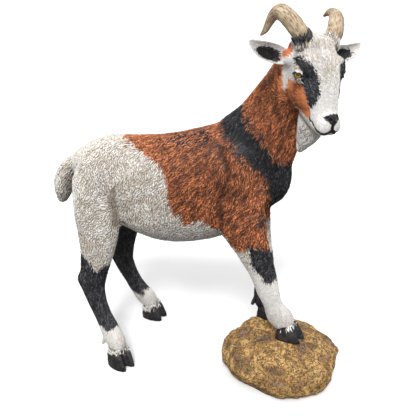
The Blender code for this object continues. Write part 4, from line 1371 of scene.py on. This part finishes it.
# %% Casting the hooves
def hoof_paint():
    paint = Paint("painted_hoof", specular=0.5)
    where = paint.place()
    flat = paint.one("ShaderNodeMapping", Vector=where, Scale=(1, 1, 4.5))
    scuffs = paint.noise(130, flat, 5.0, 0.7)
    pores = paint.noise(700, where, 2.0)
    colour = paint.mix((0.012, 0.011, 0.012), (0.030, 0.029, 0.032), paint.step(paint.noise(45, where), 0.4, 0.65))
    colour = paint.mix(colour, (0.16, 0.16, 0.165), paint.step(scuffs, 0.60, 0.70, 0.0, 0.7))
    high = paint.plus(scuffs, paint.times(pores, 0.25))
    return paint.finish(colour, scuffs, (0.35, 0.7, 0.26, 0.52), high, 0.0008, 0.5)


CLEFT_CLOSING = {"front": 0.0030, "hind": 0.0050}
DEWCLAWS = {
    end: [f"dewclaw_{end}_{side}_{claw}" for side, _ in SIDES for claw, _ in SIDES] for end in ("front", "hind")
}
hoof_finish = hoof_paint()
hooves, claws = {}, {}
for end in CLEFT_CLOSING:
    for side, _ in SIDES:
        mesh = refined([f"hoof_{end}_{side}"], 0.0017, 9, CLEFT_CLOSING[end])
        own = points_of(mesh)
        over_sole = own[:, 2] - own[:, 2].min()
        rings = np.sin(over_sole * 900 + 3 * noise_at(own, 40)) * ramp(0.008, 0.016, over_sole)
        own = own + normals_of(mesh) * (0.00025 * rings + 0.0005 * noise_at(own, 90))[:, None]
        if end == "hind":
            own[:, 2] = np.maximum(own[:, 2], solids_low[2])
        move_points(mesh, own)
        hooves[end, side] = piece(f"cast_hoof_{end}_{side}", mesh)
        mesh.materials.append(hoof_finish)
for end, names in DEWCLAWS.items():
    mesh = refined(names, 0.0011, 12)
    claws[end] = piece(f"cast_dewclaws_{end}", mesh)
    mesh.materials.append(hoof_finish if end == "front" else skin_paint)
store_numbers(claws["hind"].data, rust_edge=UNPAINTED, black_edge=UNPAINTED, soot=0, crease=0, bare=0.8)
store_vectors(claws["hind"].data, streak=stretched_place(points_of(claws["hind"].data), False))
print("hoof triangles:", 2 * len(hooves["front", "right"].data.polygons))

# %% [markdown]
# ## Hair over the joins
# Nothing shows where a hoof or a horn is let into the body, because the hair hangs over the
# hooves and stands up round the horns. The leg and its hoof are melted into one bed for the
# lowest tufts, and each horn is a bed of its own for a collar, black on the right one.

# %% Tufts round the hooves and the horns
def above(tree, spots):
    """How far each spot lies outside a skin."""
    out = []
    for spot in spots:
        near, normal, _, gap = tree.find_nearest(Vector(spot))
        out.append(math.copysign(gap, (Vector(spot) - near).dot(normal)))
    return np.array(out)


def tufts(name, bed, way, rooted, black_edge, size, spacing, seed):
    """Locks on a bed that isn't kept, all pointing one way."""
    own, own_normals = points_of(bed), normals_of(bed)
    arrows = np.asarray(way) - own_normals * (own_normals @ np.asarray(way))[:, None]
    arrows = turned(arrows, own_normals, 0.35 * noise_at(own, 90, 2.0))
    store_numbers(bed, rust_edge=UNPAINTED, black_edge=black_edge, soot=0, crease=0, bare=0.45,
                  lock_length=size[0], lock_width=size[1], lock_rise=size[2])
    store_vectors(bed, flow=arrows, skin_normal=own_normals, streak=stretched_place(own, False))
    add_map(bed)
    made = grow(name, bed, rooted, spacing, 0.22, 0.10, seed)
    bpy.data.meshes.remove(bed)
    return made


skin_tree = tree_of(skin_mesh)
feet_bed = melted(LEGS + [name for name in solids if name.startswith("hoof_")], 0.0032)
smooth_mesh(feet_bed, 6)
own = points_of(feet_bed)
low = own[:, 2] < 0.22
over_hoof = np.full(len(own), 1.0)
over_hoof[low] = above(tree_of(*[hoof.data for hoof in hooves.values()]), own[low])
rooted = ramp(0.0006, 0.0016, over_hoof) * ramp(0.0095, 0.0075, over_hoof)
rooted[low] *= ramp(0.0120, 0.0090, np.abs(above(skin_tree, own[low])))
far_foot = (own[:, 0] > 0) & (own[:, 1] < -0.1)
coat_feet = tufts("coat_coronets", feet_bed, (0.0, 0.05, -1.0), rooted, np.where(far_foot, -UNPAINTED, UNPAINTED),
                  (0.0150, 0.0038, 0.0016), 0.0022, 21)
COLLAR_HEIGHTS = {"right": 0.0095, "left": 0.0050}
collars = []
for side, sign in SIDES:
    bed = melted(["horn_" + side], 0.0024)
    smooth_mesh(bed, 6)
    own = points_of(bed)
    outside = above(skin_tree, own)
    along_horn = np.array((sign * 0.36, -0.93, -0.03)) @ HEAD_AXES.T
    black_hair = np.minimum(outside + 0.002, -0.063 - to_head(own)[:, 1]) if side == "right" else UNPAINTED
    tall = COLLAR_HEIGHTS[side]
    rooted = ramp(-0.002, 0.0, outside) * ramp(tall + 0.002, tall, outside)
    collars.append(tufts("coat_horn_collar_" + side, bed, along_horn, rooted, black_hair, (0.0125, 0.0028, 0.0021),
                         0.0021, 22 + (sign > 0)))

# %% [markdown]
# ## The boulder
# The stone is cast with the goat: ochre paint over a lumpy form full of pits and swirling cracks,
# with grey-black rubbed into the hollows. Its solid gives the form. A fine melt is pushed in and
# out by smooth noise for lumps, by folded noise for the cracks and by a cell pattern for the
# pits, and it stays flat underneath.

# %% Shaping the boulder
STONE_SEED = 5
noise.seed_set(STONE_SEED)  # without a seed, noise_vector starts from the clock


def stone_height(point):
    p = Vector(point)
    warp = p + 0.012 * noise.noise_vector(p * 26)
    lumps = 0.0065 * noise.noise(warp * 17) + 0.0046 * noise.noise(warp * 36 + Vector((3, 1, 2)))
    cracks = -0.0026 * max(0, 1 - 7 * abs(noise.noise(warp * 30 + Vector((9, 4, 1))))) ** 1.5
    pits = -0.0034 * max(0, 0.42 - noise.voronoi(p * 62)[0][0]) / 0.42 * max(0, min(1, 4 * noise.noise(p * 14) + 0.7))
    return lumps + cracks + pits


SWELLINGS = (
    # middle, reach, rise
    ((0.022, -0.195, 0.110), 0.034, 0.022), ((-0.012, -0.112, 0.100), 0.042, 0.012),
    ((-0.168, -0.350, 0.015), 0.070, 0.007),
)
stone = melted(["boulder"], 0.0032, 0.0)
own = smoothed(points_of(stone), edges_of(stone), 6)
move_points(stone, own)
own_normals = normals_of(stone)
height = np.array([stone_height(point) for point in own])
feet = np.concatenate([points_of(hooves["front", side].data)[::6] for side, _ in SIDES])
foot_tree = kdtree.KDTree(len(feet))
for number, point in enumerate(feet):
    foot_tree.insert(Vector(point), number)
foot_tree.balance()
clear = np.array([foot_tree.find(Vector(point))[2] for point in own])
for spot, reach, rise in SWELLINGS:
    height += rise * np.exp(-(np.linalg.norm(own - spot, axis=1) / reach) ** 2)
height = height * ramp(0.001, 0.016, clear)
ground = ramp(0.0, 0.012, own[:, 2])
own = own + own_normals * (height * ground - 0.0012)[:, None]
own[:, 2] = np.where(own[:, 2] < 0.0025, 0.0, own[:, 2])
move_points(stone, own)
shade_smooth(stone)
store_numbers(stone, hollow=spread(height, edges_of(stone), 1) * 200)


def stone_paint():
    paint = Paint("painted_stone", specular=0.35)
    where = paint.place()
    bent = paint.scaled(paint.noise(24, where, output="Color"), 0.030)
    warped = paint.maths("ADD", where, bent, "ShaderNodeVectorMath")

    def creases(value):
        """Dark lines where noise crosses its middle."""
        return paint.maths("MINIMUM", paint.times(paint.size(paint.plus(value, -0.5)), 9.0), 1.0)

    patches = paint.noise(17, warped, 4.0, 0.6)
    swirls = paint.noise(62, warped, 4.0, 0.62)
    grit = paint.noise(420, where, 4.0, 0.7)
    folds, fine = creases(swirls), creases(paint.noise(135, warped, 4.0, 0.62))
    dark = paint.step(paint.plus(patches, paint.times(swirls, 0.55)), 0.685, 0.635)
    dark = paint.times(dark, paint.step(grit, 0.66, 0.40))
    threads = paint.times(paint.step(fine, 0.55, 0.10), paint.step(swirls, 0.38, 0.52))
    colour = paint.mix((0.44, 0.225, 0.060), (0.66, 0.40, 0.145), paint.step(patches, 0.36, 0.62))
    for other, share in (((0.72, 0.54, 0.29), paint.step(grit, 0.54, 0.72, 0.0, 0.5)),
                         ((0.150, 0.130, 0.135), paint.times(dark, 0.85)),
                         ((0.070, 0.045, 0.028), paint.step(folds, 0.30, 0.04, 0.0, 0.8)),
                         ((0.035, 0.025, 0.020), threads),
                         ((0.075, 0.050, 0.030), paint.step(paint.stored("hollow"), -0.25, -0.75, 0.0, 0.55))):
        colour = paint.mix(colour, other, share)
    high = paint.plus(paint.plus(paint.times(folds, 0.6), paint.times(fine, 0.5)), paint.times(grit, 0.6))
    return paint.finish(colour, grit, (0.3, 0.7, 0.50, 0.75), high, 0.0022, 0.8)


boulder = piece("cast_boulder", stone)
stone.materials.append(stone_paint())
print("boulder triangles:", sum(len(p.vertices) - 2 for p in stone.polygons))

# %% [markdown]
# ## Fixing each piece to the body
# Nothing moves on a statue, so every piece rides on the one body. Each piece also hides the solids it stands for.

# %% Riding and replacing
def settle(obj, finish, *replaced):
    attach(obj, "root")
    if replaced:
        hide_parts(*replaced)


settle(skin, "painted_coat", "trunk", "neck", "head", "tail", "ear_right", "ear_left", *LEGS)
settle(beard, "painted_coat", "beard")
for made in coats + [coat_beard, coat_feet] + collars:
    settle(made, "painted_coat")
for side, _ in SIDES:
    settle(horns[side], "painted_horn", "horn_" + side)
    settle(eyes[side], "painted_eye", "eye_" + side)
for (end, side), hoof in hooves.items():
    settle(hoof, "painted_hoof", f"hoof_{end}_{side}")
for end, claw in claws.items():
    settle(claw, "painted_hoof" if end == "front" else "painted_coat", *DEWCLAWS[end])
settle(boulder, "painted_stone", "boulder")
for leftover in list(lock_shapes.objects):
    bpy.data.objects.remove(leftover)
bpy.data.collections.remove(lock_shapes)

# %% [markdown]
# ## Floor, light and camera
# A pale floor that runs to the horizon, a white sky that is brightest overhead, and one broad
# soft lamp from above on the statue's right. The sky fills the hollows, and the lamp, which is
# far away and so as strong at the feet as at the head, brings out the carving.

# %% The studio
FLOOR_REACH = 40
SKY = ((0.0, 0.22), (0.06, 0.70), (1.0, 1.08))
KEY_SPOT = (-2.0, -0.25, 2.10)


def simple_floor():
    mesh = bpy.data.meshes.new("floor")
    corners = [(FLOOR_REACH * a, FLOOR_REACH * b, 0) for a, b in ((-1, -1), (1, -1), (1, 1), (-1, 1))]
    mesh.from_pydata(corners, [], [(0, 1, 2, 3)])
    paint = Paint("studio_floor", roughness=0.9, specular=0.2)
    mottled = paint.mix((0.93, 0.93, 0.93), (0.95, 0.95, 0.95), paint.noise(3.0, detail=2.0))
    paint.put(paint.shader.inputs["Base Color"], mottled)
    mesh.materials.append(paint.material)
    floor = piece("floor", mesh)
    floor.visible_diffuse = False
    floor.visible_glossy = False
    return floor


simple_floor()
key = bpy.data.objects.new("key", bpy.data.lights.new("key", "SUN"))
key.data.energy = 2.6
key.data.angle = math.radians(16)
key.rotation_euler = Vector(KEY_SPOT).to_track_quat("Z", "Y").to_euler()
scene.collection.objects.link(key)
world = bpy.data.worlds.new("studio")
world.use_nodes = True
sky = Net(world.node_tree)
direction = sky.node("ShaderNodeTexCoord").outputs["Generated"]
dome = sky.node("ShaderNodeValToRGB", Fac=sky.node("ShaderNodeSeparateXYZ", Vector=direction).outputs["Z"])
dome.color_ramp.elements.new(SKY[1][0])
for stop, (spot, grey) in zip(dome.color_ramp.elements, SKY):
    stop.position = spot
    stop.color = (grey, grey, grey, 1)
sky.put(world.node_tree.nodes["Background"].inputs["Color"], dome.outputs["Color"])
scene.world = world
scene.view_settings.view_transform = "Standard"
scene.view_settings.look = "None"
print("one lamp, and a sky of", len(SKY), "greys")

# %% The camera
CAMERA_TURN, CAMERA_DIP = math.radians(15), math.radians(21.5)
CAMERA_SPOT = (-1.58726, -0.46814, 1.1455)
camera_data = bpy.data.cameras.new("camera")
camera_data.sensor_width = 36
camera_data.lens = 51.9231
camera_data.clip_end = 200
camera = bpy.data.objects.new("camera", camera_data)
scene.collection.objects.link(camera)
right = Vector((math.sin(CAMERA_TURN), -math.cos(CAMERA_TURN), 0))
level = Vector((math.cos(CAMERA_TURN), math.sin(CAMERA_TURN), 0))
forward = level * math.cos(CAMERA_DIP) - Vector((0, 0, math.sin(CAMERA_DIP)))
rotation = Matrix((right, right.cross(forward), -forward)).transposed()
camera.matrix_world = Matrix.Translation(CAMERA_SPOT) @ rotation.to_4x4()
scene.camera = camera
print("camera at", CAMERA_SPOT)
